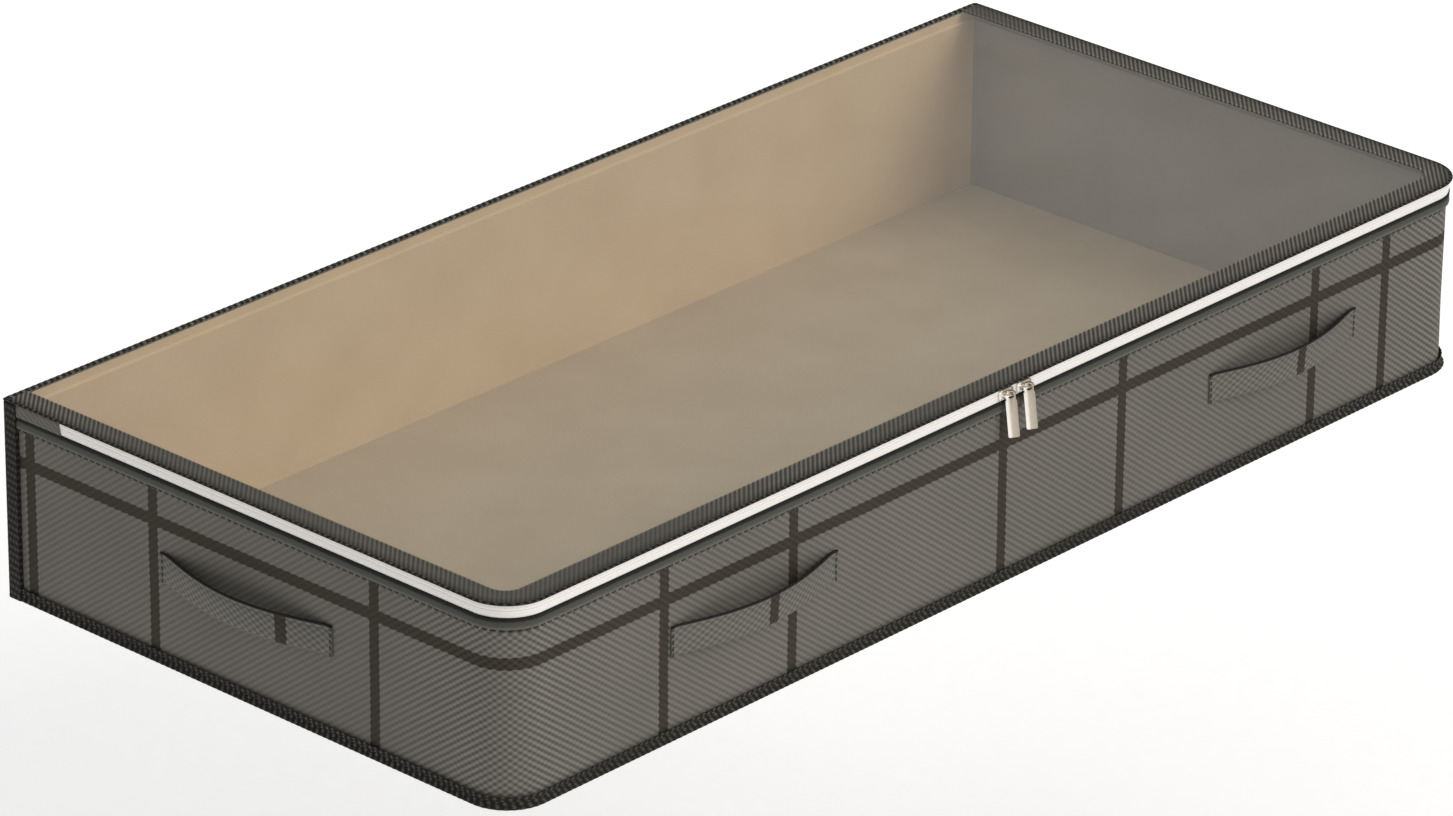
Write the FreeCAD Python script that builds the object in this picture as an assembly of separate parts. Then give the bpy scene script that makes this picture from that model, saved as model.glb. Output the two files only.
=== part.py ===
"""Under bed storage box: fabric walls over stiff card, with a zipped clear lid.

Millimetres. Origin on the floor, at the middle of the base. +X runs along the
long side, -Y is the front with the zip sliders, +Y is the hinge side, +Z is up.
An inset is a distance inwards from the outermost outline of the box.
"""
import FreeCAD
import Part
import math
import os

from FreeCAD import Vector

# ---------------------------------------------------------------- whole box
LENGTH = 1000.0
WIDTH = 480.0
HEIGHT = 150.0
CORNER_RADIUS = 35.0

# ---------------------------------------------------------------- wall layers, as insets
FABRIC = 0.8
BOARD = 3.0
LINING = 0.6
WALL_FACE = 4.5
BOARD_OUTER = WALL_FACE + FABRIC
BOARD_INNER = BOARD_OUTER + BOARD
LINING_INNER = BOARD_INNER + LINING

# ---------------------------------------------------------------- base
PANEL = 0.8
BASE_BOARD_GAP = 0.3
BASE_TOP = PANEL + BOARD
FLOOR_TOP = BASE_TOP + LINING
BOTTOM_BINDING_HEIGHT = 9.6
BINDING_ROUND = 2.0

# ---------------------------------------------------------------- wall heights
WALL_TOP = 140.0
BOARD_TOP = 138.6
LINING_FOLD = 139.0
CORNER_CLEAR = 8.0
BACK_CORNER_CLEAR = 3.0

# ---------------------------------------------------------------- zip
HEM_BOTTOM = 130.5
HEM_TOP = 139.1
HEM_FACE = 2.2
HEM_LAYER = 0.8
TAPE_OUTER = HEM_FACE + HEM_LAYER
TAPE = 0.6
TAPE_INNER = TAPE_OUTER + TAPE
TAPE_BOTTOM = HEM_BOTTOM + HEM_LAYER
ZIP_GAP_LOW = 143.1
ZIP_GAP_HIGH = 144.7
COIL = 2.2
COIL_INNER = TAPE_INNER + COIL
COIL_HEIGHT = 2.3
ZIP_MIDDLE = (ZIP_GAP_LOW + ZIP_GAP_HIGH) / 2
ZIP_END_Y = 196.0
ZIP_TAB_FRONT = 182.0
ZIP_TAB = 0.6
ZIP_TAB_CLEAR = 0.4
STOP_LENGTH = 3.0

# ---------------------------------------------------------------- lid
LID_BOTTOM = 147.9
FACING = 0.7
FILM = 0.5
FILM_BOTTOM = LID_BOTTOM + FACING
RIM_BOTTOM = FILM_BOTTOM + FILM
RIM_WIDTH_FRONT = 22.0
RIM_WIDTH_END = 20.5
WINDOW_RADIUS = 14.0
FILM_UNDER_RIM = 8.0
LID_BACK = 1.0
LID_EDGE_ROUND = 0.95
BACK_PIPING = 5.5

# ---------------------------------------------------------------- hinge
HINGE_BINDING_BACK = 1.5
HINGE_BINDING_BOTTOM = 138.0
HINGE_BINDING_TOP = 147.4
CORNER_BINDING_WIDTH = 11.0
CORNER_BINDING_SIDE = 1.0

# ---------------------------------------------------------------- sliders and pulls
SLIDER_MIDDLE = -3.0
SLIDER_X = 9.4
SLIDER_LENGTH = 14.0
SLIDER_BOTTOM = 140.4
SLIDER_TOP = 147.5
PLATE = 1.2
SLIDER_CLEAR = 0.35
SLIDER_CORNER = 1.6
POST_LENGTH = 4.0
POST_HEIGHT = 0.9
CROWN_STANDOFF = 3.7
CROWN_RADIUS = 0.65
CROWN_LENGTH = 11.0
CROWN_LEG = 1.3
CROWN_HEIGHT = 2.6
PULL_TURN = 40.0
PULL_LEAN = 8.0
PULL_WIDTH = 8.0
PULL_LENGTH = 30.5
PULL_THICK = 1.4
EYE_OUTER_RADIUS = 3.3
EYE_RADIUS = 2.4
PULL_CORNER = 1.2
NECK_OVERLAP = 2.0

# ---------------------------------------------------------------- handles
HANDLE_LENGTH = 162.0
HANDLE_FOOT = 14.0
HANDLE_RISE = 13.5
HANDLE_BOTTOM = 61.5
HANDLE_HEIGHT = 22.0
STRAP = 1.6
FRONT_HANDLES = {"front_handle_left": -262.0, "front_handle_right": 291.0}
END_HANDLE_Y = 6.0

HALF_LENGTH = LENGTH / 2
HALF_WIDTH = WIDTH / 2
LEVEL = 0.01


def box(x0, x1, y0, y1, z0, z1):
    """Block between two opposite corners."""
    return Part.makeBox(x1 - x0, y1 - y0, z1 - z0, Vector(x0, y0, z0))


def slab(x0, x1, y0, y1, z0, z1, radius):
    """Plate with two rounded front corners and two square back corners."""
    if radius <= 0:
        return box(x0, x1, y0, y1, z0, z1)
    bulge = radius * (1 - math.sqrt(0.5))
    left_mid = Vector(x0 + bulge, y0 + bulge, z0)
    right_mid = Vector(x1 - bulge, y0 + bulge, z0)
    edges = [
        Part.LineSegment(Vector(x0, y1, z0), Vector(x0, y0 + radius, z0)),
        Part.Arc(Vector(x0, y0 + radius, z0), left_mid, Vector(x0 + radius, y0, z0)),
        Part.LineSegment(Vector(x0 + radius, y0, z0), Vector(x1 - radius, y0, z0)),
        Part.Arc(Vector(x1 - radius, y0, z0), right_mid, Vector(x1, y0 + radius, z0)),
        Part.LineSegment(Vector(x1, y0 + radius, z0), Vector(x1, y1, z0)),
        Part.LineSegment(Vector(x1, y1, z0), Vector(x0, y1, z0)),
    ]
    wire = Part.Wire([edge.toShape() for edge in edges])
    return Part.Face(wire).extrude(Vector(0, 0, z1 - z0))


def outline(inset, z0, z1):
    """The box's plan outline, drawn in by an inset, between two heights."""
    return slab(
        -HALF_LENGTH + inset, HALF_LENGTH - inset,
        -HALF_WIDTH + inset, HALF_WIDTH - inset,
        z0, z1, CORNER_RADIUS - inset,
    )


def three_sides(outer, inner, z0, z1, back_y):
    """The left, front and right sides of a ring, in one piece that ends at back_y."""
    behind = box(-HALF_LENGTH, HALF_LENGTH, back_y, HALF_WIDTH, z0, z1)
    deep = slab(
        -HALF_LENGTH + inner, HALF_LENGTH - inner, -HALF_WIDTH + inner, HALF_WIDTH,
        z0, z1, CORNER_RADIUS - inner,
    )
    return outline(outer, z0, z1).cut(deep).cut(behind)


def save(name, shape):
    """Write one piece to its own STEP file."""
    if not shape.isValid():
        raise ValueError(name + " is not a valid solid")
    shape.exportStep("parts/" + name + ".step")
    print(name, len(shape.Solids), round(shape.Volume, 1))


# ---------------------------------------------------------------- base pieces
def bottom_panel():
    return outline(WALL_FACE, 0, PANEL)


def base_board():
    return outline(LINING_INNER + BASE_BOARD_GAP, PANEL, BASE_TOP)


def base_lining():
    return outline(LINING_INNER, BASE_TOP, FLOOR_TOP)


def bottom_binding():
    """Tape round the bottom seam, with its two outer edges rounded."""
    whole = outline(0, 0, BOTTOM_BINDING_HEIGHT)
    rims = [edge for edge in whole.Edges if is_rim(edge)]
    rounded = whole.makeFillet(BINDING_ROUND, rims)
    return rounded.cut(outline(WALL_FACE, 0, BOTTOM_BINDING_HEIGHT))


def is_rim(edge):
    """True for an edge that lies level, at the top or bottom of a plate."""
    return edge.BoundBox.ZLength < LEVEL


def is_through(edge):
    """True for a straight edge that runs through a plate along Y."""
    return edge.BoundBox.XLength < LEVEL and edge.BoundBox.ZLength < LEVEL


# ---------------------------------------------------------------- wall pieces
def wall_band():
    back = HALF_WIDTH - WALL_FACE - FABRIC
    return three_sides(WALL_FACE, BOARD_OUTER, PANEL, WALL_TOP, back)


def back_panel():
    side = HALF_LENGTH - WALL_FACE
    face = HALF_WIDTH - WALL_FACE
    return box(-side, side, face - FABRIC, face, PANEL, HINGE_BINDING_TOP)


def front_board():
    reach = HALF_LENGTH - CORNER_RADIUS - CORNER_CLEAR
    front = -HALF_WIDTH + BOARD_OUTER
    return box(-reach, reach, front, front + BOARD, PANEL, BOARD_TOP)


def end_board(side):
    """Card inside a short wall; side is -1 for the left end and +1 for the right."""
    outer = side * (HALF_LENGTH - BOARD_OUTER)
    inner = side * (HALF_LENGTH - BOARD_INNER)
    front = -HALF_WIDTH + CORNER_RADIUS + CORNER_CLEAR
    back = HALF_WIDTH - BOARD_INNER - BACK_CORNER_CLEAR
    return box(min(outer, inner), max(outer, inner), front, back, PANEL, BOARD_TOP)


def back_board():
    reach = HALF_LENGTH - BOARD_INNER - BACK_CORNER_CLEAR
    back = HALF_WIDTH - BOARD_OUTER
    return box(-reach, reach, back - BOARD, back, PANEL, WALL_TOP)


def wall_lining():
    """Inner fabric of three walls, folded outwards over the top of the cards."""
    back = HALF_WIDTH - BOARD_INNER - LINING
    face = three_sides(BOARD_INNER, LINING_INNER, PANEL, LINING_FOLD + LINING, back)
    fold = three_sides(BOARD_OUTER, LINING_INNER, LINING_FOLD, LINING_FOLD + LINING, back)
    return face.fuse(fold).removeSplitter()


def back_lining():
    reach = HALF_LENGTH - BOARD_INNER
    back = HALF_WIDTH - BOARD_INNER
    return box(-reach, reach, back - LINING, back, PANEL, WALL_TOP)


def corner_binding(side):
    """Tape folded round a square back corner; side is -1 on the left, +1 on the right."""
    outer = HALF_LENGTH - CORNER_BINDING_SIDE
    inner = HALF_LENGTH - CORNER_BINDING_WIDTH
    z0 = BOTTOM_BINDING_HEIGHT
    z1 = HINGE_BINDING_TOP
    front = HALF_WIDTH - CORNER_BINDING_WIDTH
    back = HALF_WIDTH - HINGE_BINDING_BACK
    whole = box(inner, outer, front, back, z0, z1)
    upright = [edge for edge in whole.Edges if not is_rim(edge)]
    outside = [edge for edge in upright if edge.CenterOfMass.x > inner + BINDING_ROUND]
    rounded = whole.makeFillet(BINDING_ROUND, outside)
    bent = rounded.cut(box(0, HALF_LENGTH - WALL_FACE, 0, HALF_WIDTH - WALL_FACE, z0, z1))
    if side < 0:
        bent = bent.mirror(Vector(0, 0, 0), Vector(1, 0, 0))
    return bent


# ---------------------------------------------------------------- zip pieces
def zip_hem():
    """Folded strip along the wall's top: two layers that hold the zip tape between them."""
    back = HALF_WIDTH - CORNER_BINDING_WIDTH
    folded = three_sides(HEM_FACE, WALL_FACE, HEM_BOTTOM, HEM_TOP, back)
    return folded.cut(three_sides(TAPE_OUTER, TAPE_INNER, TAPE_BOTTOM, HEM_TOP, back))


def lower_zip_tape():
    return three_sides(TAPE_OUTER, TAPE_INNER, TAPE_BOTTOM, ZIP_GAP_LOW, ZIP_END_Y)


def lower_zip_coil():
    low = ZIP_GAP_LOW - COIL_HEIGHT
    return three_sides(TAPE_INNER, COIL_INNER, low, ZIP_GAP_LOW, ZIP_END_Y)


def upper_zip_tape():
    return three_sides(TAPE_OUTER, TAPE_INNER, ZIP_GAP_HIGH, LID_BOTTOM, ZIP_END_Y)


def upper_zip_coil():
    high = ZIP_GAP_HIGH + COIL_HEIGHT
    return three_sides(TAPE_INNER, COIL_INNER, ZIP_GAP_HIGH, high, ZIP_END_Y)


def zip_stops():
    """One crimped metal stop at each end of the lower half."""
    inner = HALF_LENGTH - COIL_INNER
    y0 = ZIP_END_Y
    y1 = ZIP_END_Y + STOP_LENGTH
    right = box(inner, HALF_LENGTH - TAPE_OUTER, y0, y1, ZIP_GAP_LOW - COIL_HEIGHT, ZIP_GAP_LOW)
    left = right.mirror(Vector(0, 0, 0), Vector(1, 0, 0))
    return Part.makeCompound([left, right])


def zip_end_tab(side):
    """Fabric over the end of the zip, from the hem to the back corner's binding."""
    inner = HALF_LENGTH - TAPE_OUTER + ZIP_TAB_CLEAR
    back = HALF_WIDTH - CORNER_BINDING_WIDTH
    tab = box(inner, inner + ZIP_TAB, ZIP_TAB_FRONT, back, HEM_TOP, HINGE_BINDING_TOP)
    if side < 0:
        tab = tab.mirror(Vector(0, 0, 0), Vector(1, 0, 0))
    return tab


# ---------------------------------------------------------------- lid pieces
def lid_plate(inset, back_inset, z0, z1):
    """Plate of the lid: three sides at one inset, the hinge side at its own."""
    return slab(
        -HALF_LENGTH + inset, HALF_LENGTH - inset,
        -HALF_WIDTH + inset, HALF_WIDTH - back_inset,
        z0, z1, CORNER_RADIUS - inset,
    )


def window_hole(grow, z0, z1):
    """The clear opening of the lid, made larger by grow on the three rim sides."""
    return slab(
        -HALF_LENGTH + RIM_WIDTH_END - grow, HALF_LENGTH - RIM_WIDTH_END + grow,
        -HALF_WIDTH + RIM_WIDTH_FRONT - grow, HALF_WIDTH - LID_BACK - BACK_PIPING,
        z0, z1, WINDOW_RADIUS + grow,
    )


def lid_window():
    return window_hole(FILM_UNDER_RIM, FILM_BOTTOM, RIM_BOTTOM)


def lid_rim():
    """Ribbed border on top of the film, open along the hinge side."""
    whole = lid_plate(WALL_FACE, LID_BACK + BACK_PIPING, RIM_BOTTOM, HEIGHT)
    return whole.cut(window_hole(0, RIM_BOTTOM, HEIGHT))


def lid_facing():
    """Strip under the film's edge, which the upper half of the zip is sewn to."""
    whole = lid_plate(WALL_FACE, LID_BACK + BACK_PIPING, LID_BOTTOM, FILM_BOTTOM)
    return whole.cut(window_hole(0, LID_BOTTOM, FILM_BOTTOM))


def lid_binding():
    """Bound edge all round the lid, with its outer edges rounded."""
    whole = lid_plate(0, LID_BACK, LID_BOTTOM, HEIGHT)
    rims = [edge for edge in whole.Edges if is_rim(edge)]
    rounded = whole.makeFillet(LID_EDGE_ROUND, rims)
    inside = lid_plate(WALL_FACE, LID_BACK + BACK_PIPING, LID_BOTTOM, HEIGHT)
    return rounded.cut(inside)


def hinge_binding():
    """Tape over the back wall's top, which the lid folds about."""
    reach = HALF_LENGTH - CORNER_BINDING_WIDTH
    face = HALF_WIDTH - WALL_FACE
    back = HALF_WIDTH - HINGE_BINDING_BACK
    return box(-reach, reach, face, back, HINGE_BINDING_BOTTOM, HINGE_BINDING_TOP)


# ---------------------------------------------------------------- sliders and pulls
def slider(middle_x):
    """Two plates astride the zip, joined by the post that parts it, with a crown in front."""
    half = SLIDER_LENGTH / 2
    front_in = -HALF_WIDTH + TAPE_OUTER - SLIDER_CLEAR
    front_out = front_in - PLATE
    back_out = -HALF_WIDTH + COIL_INNER + SLIDER_CLEAR
    crown_y = front_out - CROWN_STANDOFF
    x0 = middle_x - half
    x1 = middle_x + half
    front = box(x0, x1, front_out, front_in, SLIDER_BOTTOM, SLIDER_TOP)
    front = front.makeFillet(SLIDER_CORNER, [edge for edge in front.Edges if is_through(edge)])
    back = box(x0, x1, back_out, back_out + PLATE, SLIDER_BOTTOM, SLIDER_TOP)
    inner = math.copysign(half - POST_LENGTH / 2, -middle_x)
    post_x = middle_x + inner
    post = box(
        post_x - POST_LENGTH / 2, post_x + POST_LENGTH / 2, front_in, back_out,
        ZIP_MIDDLE - POST_HEIGHT / 2, ZIP_MIDDLE + POST_HEIGHT / 2,
    )
    crown = crown_arch(middle_x, crown_y, front_out)
    return front.fuse([back, post, crown]).removeSplitter()


def crown_arch(middle_x, crown_y, plate_y):
    """Round bar along X, carried on two legs that stand on the front plate."""
    half = CROWN_LENGTH / 2
    start = Vector(middle_x - half, crown_y, ZIP_MIDDLE)
    bar = Part.makeCylinder(CROWN_RADIUS, CROWN_LENGTH, start, Vector(1, 0, 0))
    legs = []
    for end in (-1, 1):
        outer = middle_x + end * half
        inner = outer - end * CROWN_LEG
        legs.append(box(
            min(outer, inner), max(outer, inner), crown_y, plate_y,
            ZIP_MIDDLE - CROWN_HEIGHT / 2, ZIP_MIDDLE + CROWN_HEIGHT / 2,
        ))
    return bar.fuse(legs)


def pull(middle_x):
    """Flat tab hanging from the crown through a round eye."""
    half_thick = PULL_THICK / 2
    down = Vector(0, 1, 0)
    head = Part.makeCylinder(EYE_OUTER_RADIUS, PULL_THICK, Vector(0, -half_thick, 0), down)
    half = PULL_WIDTH / 2
    tail = box(-half, half, -half_thick, half_thick, -PULL_LENGTH, -EYE_OUTER_RADIUS)
    tail = tail.makeFillet(PULL_CORNER, [edge for edge in tail.Edges if is_through(edge)])
    neck_bottom = -EYE_OUTER_RADIUS - NECK_OVERLAP
    neck = box(-EYE_OUTER_RADIUS, EYE_OUTER_RADIUS, -half_thick, half_thick, neck_bottom, 0)
    eye = Part.makeCylinder(EYE_RADIUS, 2 * PULL_THICK, Vector(0, -PULL_THICK, 0), down)
    tab = head.fuse([neck, tail]).removeSplitter().cut(eye)
    tab.rotate(Vector(0, 0, 0), Vector(0, 0, 1), -PULL_TURN)
    tab.rotate(Vector(0, 0, 0), Vector(1, 0, 0), -PULL_LEAN)
    plate_y = -HALF_WIDTH + TAPE_OUTER - SLIDER_CLEAR - PLATE
    tab.translate(Vector(middle_x, plate_y - CROWN_STANDOFF, ZIP_MIDDLE))
    return tab


# ---------------------------------------------------------------- handles
def handle_profile(offset):
    """Plan line of a handle at one face of the strap: foot, bow, foot."""
    half = HANDLE_LENGTH / 2
    bow = half - HANDLE_FOOT
    return [
        Part.LineSegment(Vector(-half, -offset, 0), Vector(-bow, -offset, 0)),
        Part.Arc(
            Vector(-bow, -offset, 0), Vector(0, -offset - HANDLE_RISE, 0), Vector(bow, -offset, 0)
        ),
        Part.LineSegment(Vector(bow, -offset, 0), Vector(half, -offset, 0)),
    ]


def handle():
    """Strap that bows outwards between two sewn feet; its back lies on Y = 0."""
    half = HANDLE_LENGTH / 2
    inner = handle_profile(0)
    outer = handle_profile(STRAP)
    ends = [
        Part.LineSegment(Vector(-half, 0, 0), Vector(-half, -STRAP, 0)),
        Part.LineSegment(Vector(half, 0, 0), Vector(half, -STRAP, 0)),
    ]
    edges = [edge.toShape() for edge in inner + ends + outer]
    wire = Part.Wire(Part.__sortEdges__(edges))
    strap = Part.Face(wire).extrude(Vector(0, 0, HANDLE_HEIGHT))
    strap.translate(Vector(0, 0, HANDLE_BOTTOM))
    return strap


def front_handle(middle_x):
    strap = handle()
    strap.translate(Vector(middle_x, -HALF_WIDTH + WALL_FACE, 0))
    return strap


def end_handle(side):
    """Handle of a short end; side is -1 on the left and +1 on the right."""
    strap = handle()
    strap.rotate(Vector(0, 0, 0), Vector(0, 0, 1), side * 90)
    strap.translate(Vector(side * (HALF_LENGTH - WALL_FACE), END_HANDLE_Y, 0))
    return strap


def main():
    os.makedirs("parts", exist_ok=True)
    for make in (
        bottom_panel, base_board, base_lining, bottom_binding, wall_band, back_panel,
        front_board, back_board, wall_lining, back_lining, zip_hem, lower_zip_tape,
        lower_zip_coil, upper_zip_tape, upper_zip_coil, zip_stops, lid_window, lid_rim,
        lid_facing, lid_binding, hinge_binding,
    ):
        save(make.__name__, make())
    for word, side in (("left", -1), ("right", 1)):
        save(word + "_board", end_board(side))
        save("corner_binding_" + word, corner_binding(side))
        save("zip_end_tab_" + word, zip_end_tab(side))
        save("slider_" + word, slider(SLIDER_MIDDLE + side * SLIDER_X))
        save("pull_" + word, pull(SLIDER_MIDDLE + side * SLIDER_X))
        save("end_handle_" + word, end_handle(side))
    for name, middle_x in FRONT_HANDLES.items():
        save(name, front_handle(middle_x))


main()
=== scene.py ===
"""Looks of an under bed storage box: printed non-woven over card, a white zip and a clear lid.

Metres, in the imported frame: +X along the long side, -Y the front with the zip sliders, +Y the
hinge side, +Z up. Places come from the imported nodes; an inset is a distance inwards from the
outermost outline of the box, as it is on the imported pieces.
"""
import math

import bmesh
import bpy
from mathutils import Matrix, Vector, noise


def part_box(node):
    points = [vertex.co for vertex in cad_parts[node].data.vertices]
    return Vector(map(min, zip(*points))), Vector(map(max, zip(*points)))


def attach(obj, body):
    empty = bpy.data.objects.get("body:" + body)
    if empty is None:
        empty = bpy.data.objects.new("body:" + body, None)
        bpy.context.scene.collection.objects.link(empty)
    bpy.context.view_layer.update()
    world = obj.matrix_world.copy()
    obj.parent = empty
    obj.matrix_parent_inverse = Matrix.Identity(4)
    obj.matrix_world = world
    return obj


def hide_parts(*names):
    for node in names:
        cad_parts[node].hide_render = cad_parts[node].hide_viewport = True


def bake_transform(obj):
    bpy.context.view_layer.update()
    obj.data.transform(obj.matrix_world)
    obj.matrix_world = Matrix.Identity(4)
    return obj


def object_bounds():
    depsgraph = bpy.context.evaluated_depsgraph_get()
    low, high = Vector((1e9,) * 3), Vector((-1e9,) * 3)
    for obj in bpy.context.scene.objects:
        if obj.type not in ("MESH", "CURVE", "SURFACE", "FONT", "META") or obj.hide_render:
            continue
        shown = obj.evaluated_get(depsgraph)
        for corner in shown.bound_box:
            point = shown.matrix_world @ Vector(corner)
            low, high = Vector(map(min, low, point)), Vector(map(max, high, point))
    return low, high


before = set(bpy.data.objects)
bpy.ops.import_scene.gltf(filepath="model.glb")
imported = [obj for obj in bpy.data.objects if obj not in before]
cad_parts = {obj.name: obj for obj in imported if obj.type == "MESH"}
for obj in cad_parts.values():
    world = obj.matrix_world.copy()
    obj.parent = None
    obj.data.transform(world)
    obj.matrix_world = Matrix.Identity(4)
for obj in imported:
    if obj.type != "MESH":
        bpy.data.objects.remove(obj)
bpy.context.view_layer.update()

MM = 0.001

# ---------------------------------------------------------------- places, from the frame
HALF_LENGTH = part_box("bottom_binding")[1].x
HALF_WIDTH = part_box("bottom_binding")[1].y
CORNER_RADIUS = 35 * MM


def inset_of(node):
    """How far a node's right side lies inside the box's outermost outline."""
    return HALF_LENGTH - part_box(node)[1].x


WALL_FACE = inset_of("wall_band")
WALL_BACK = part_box("wall_band")[1].y
LINING_FACE = inset_of("base_lining")
HEM_FACE = inset_of("zip_hem")
TAPE_FACE = inset_of("lower_zip_tape")
COIL_FACE = inset_of("lower_zip_coil")
TAPE_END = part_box("lower_zip_tape")[1].y
BACK_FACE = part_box("back_panel")[1].y
LID_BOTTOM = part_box("lid_binding")[0].z
LID_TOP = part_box("lid_binding")[1].z
LID_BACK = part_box("lid_binding")[1].y
FILM_LOW, FILM_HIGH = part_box("lid_window")
ZIP_SPLIT = (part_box("lower_zip_tape")[1].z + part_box("upper_zip_tape")[0].z) / 2

# ---------------------------------------------------------------- sizes only the looks need
# Spacing of the points along a plan line, for wide cloth and for the narrow trims on it.
STATION = 6 * MM
TRIM_STATION = 4 * MM
# The embossed weave's repeat, and how far past a bend its print stays crisp.
WEAVE_ACROSS = 6.68 * MM
WEAVE_UP = 5.06 * MM
BEND_REACH = 90 * MM
# Check stripes: width, level of the one that runs round, and middles of the upright ones.
CHECK_WIDTH = 9 * MM
CHECK_LEVEL = 105 * MM
FRONT_CHECKS = [x * MM for x in (-349, -223.5, -10.8, 115, 326.5, 407)]
END_CHECKS = [y * MM for y in (215.5, 95.3, -113.5)]
BACK_CHECKS = [-x for x in reversed(FRONT_CHECKS)]
# The lid's border: the repeat of its weave, and the window's inset and corner radius.
RIM_ACROSS = 4.5 * MM
RIM_UP = 4.2 * MM
WINDOW_SIDE = 20.5 * MM
WINDOW_FRONT = 22 * MM
WINDOW_RADIUS = 14 * MM
# Trims: cord spacing in the tape, the piping's width and cord spacing, the zip's half gap.
RIB_PITCH = 5 * MM
PIPING = 5.5 * MM
PIPING_PITCH = 5.6 * MM
ZIP_SEAM = 0.12 * MM
STITCH_PITCH = 6 * MM
COIL_PITCH = 1.6 * MM
# Heights at which the walls' and the linings' soft waves die out.
WALL_EASE_TOP = 132 * MM
LINING_EASE_TOP = 136 * MM
# Handles: thickness of the doubled cloth, and each one's stripe from its middle.
HANDLE_CLOTH = 1.7 * MM
HANDLE_STRIPES = {
    "front_left": 4.7 * MM, "front_right": 4.8 * MM, "end_left": 42 * MM, "end_right": -42 * MM,
}
FLOOR_GAP = 0.2 * MM
FLOOR_REACH = 12.0

# ---------------------------------------------------------------- the camera
# Degrees round from the front, above the floor and of roll, then its place along its own axes.
CAMERA_TURN = -47.438
CAMERA_RISE = 24.788
CAMERA_ROLL = 0.575
CAMERA_RIGHT = -0.02265
CAMERA_UP = 0.04764
CAMERA_AWAY = 5.66556
CAMERA_LENS = 198.45


# ---------------------------------------------------------------- materials
def colour(text):
    """An sRGB hex colour as linear red, green, blue and a full alpha."""
    parts = [int(text[i:i + 2], 16) / 255 for i in (0, 2, 4)]
    return [p / 12.92 if p <= 0.04045 else ((p + 0.055) / 1.055) ** 2.4 for p in parts] + [1.0]


def put(tree, kind, inputs=None, **settings):
    """Add a node. Inputs go by name or number, each a value, a socket or a node's first output."""
    made = tree.nodes.new(kind)
    for key, value in settings.items():
        setattr(made, key, value)
    for key, value in (inputs or {}).items():
        if isinstance(value, bpy.types.Node):
            value = value.outputs[0]
        if isinstance(value, bpy.types.NodeSocket):
            tree.links.new(value, made.inputs[key])
        else:
            made.inputs[key].default_value = value
    return made


def finish(name, **constants):
    """A new material with its shader, whose constant inputs are set on the shader's own sockets."""
    material = bpy.data.materials.new(name)
    material.use_nodes = True
    shader = material.node_tree.nodes["Principled BSDF"]
    for key, value in constants.items():
        shader.inputs[key.replace("_", " ").title().replace("Ior", "IOR")].default_value = value
    return material, material.node_tree, shader


def coat(tree, shader, tone, relief, strength, depth):
    """Give a shader its colour, and a surface raised by a relief that is a depth high in metres."""
    tree.links.new(tone.outputs[0], shader.inputs["Base Color"])
    bump = put(tree, "ShaderNodeBump", {"Height": relief, "Strength": strength, "Distance": depth})
    tree.links.new(bump.outputs[0], shader.inputs["Normal"])


def lattice(tree, along, up, period_along, period_up, falling=0.5):
    """Staggered dots, 1 at each dot's middle and -1 between them, as two crossed sets of lines.

    Falling is the share of the lines that run down to the right, a number or a socket.
    """
    turns = [
        put(tree, "ShaderNodeMath", {0: way, 1: math.tau / period}, operation="MULTIPLY")
        for way, period in ((along, period_along), (up, period_up))
    ]
    lines = []
    for sense in ("ADD", "SUBTRACT"):
        phase = put(tree, "ShaderNodeMath", {0: turns[0], 1: turns[1]}, operation=sense)
        lines.append(put(tree, "ShaderNodeMath", {0: phase}, operation="COSINE"))
    mixed = put(tree, "ShaderNodeMix", {0: falling, 2: lines[1], 3: lines[0]}, data_type="FLOAT")
    return mixed.outputs[0]


def ramp(tree, factor, stops, interpolation="LINEAR"):
    """Colours over a factor; stops are (place, hex colour) from low to high."""
    made = put(tree, "ShaderNodeValToRGB", {0: factor})
    made.color_ramp.interpolation = interpolation
    elements = made.color_ramp.elements
    while len(elements) < len(stops):
        elements.new(0.5)
    for element, (place, tone) in zip(elements, stops):
        element.position = place
        element.color = colour(tone)
    return made


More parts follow.
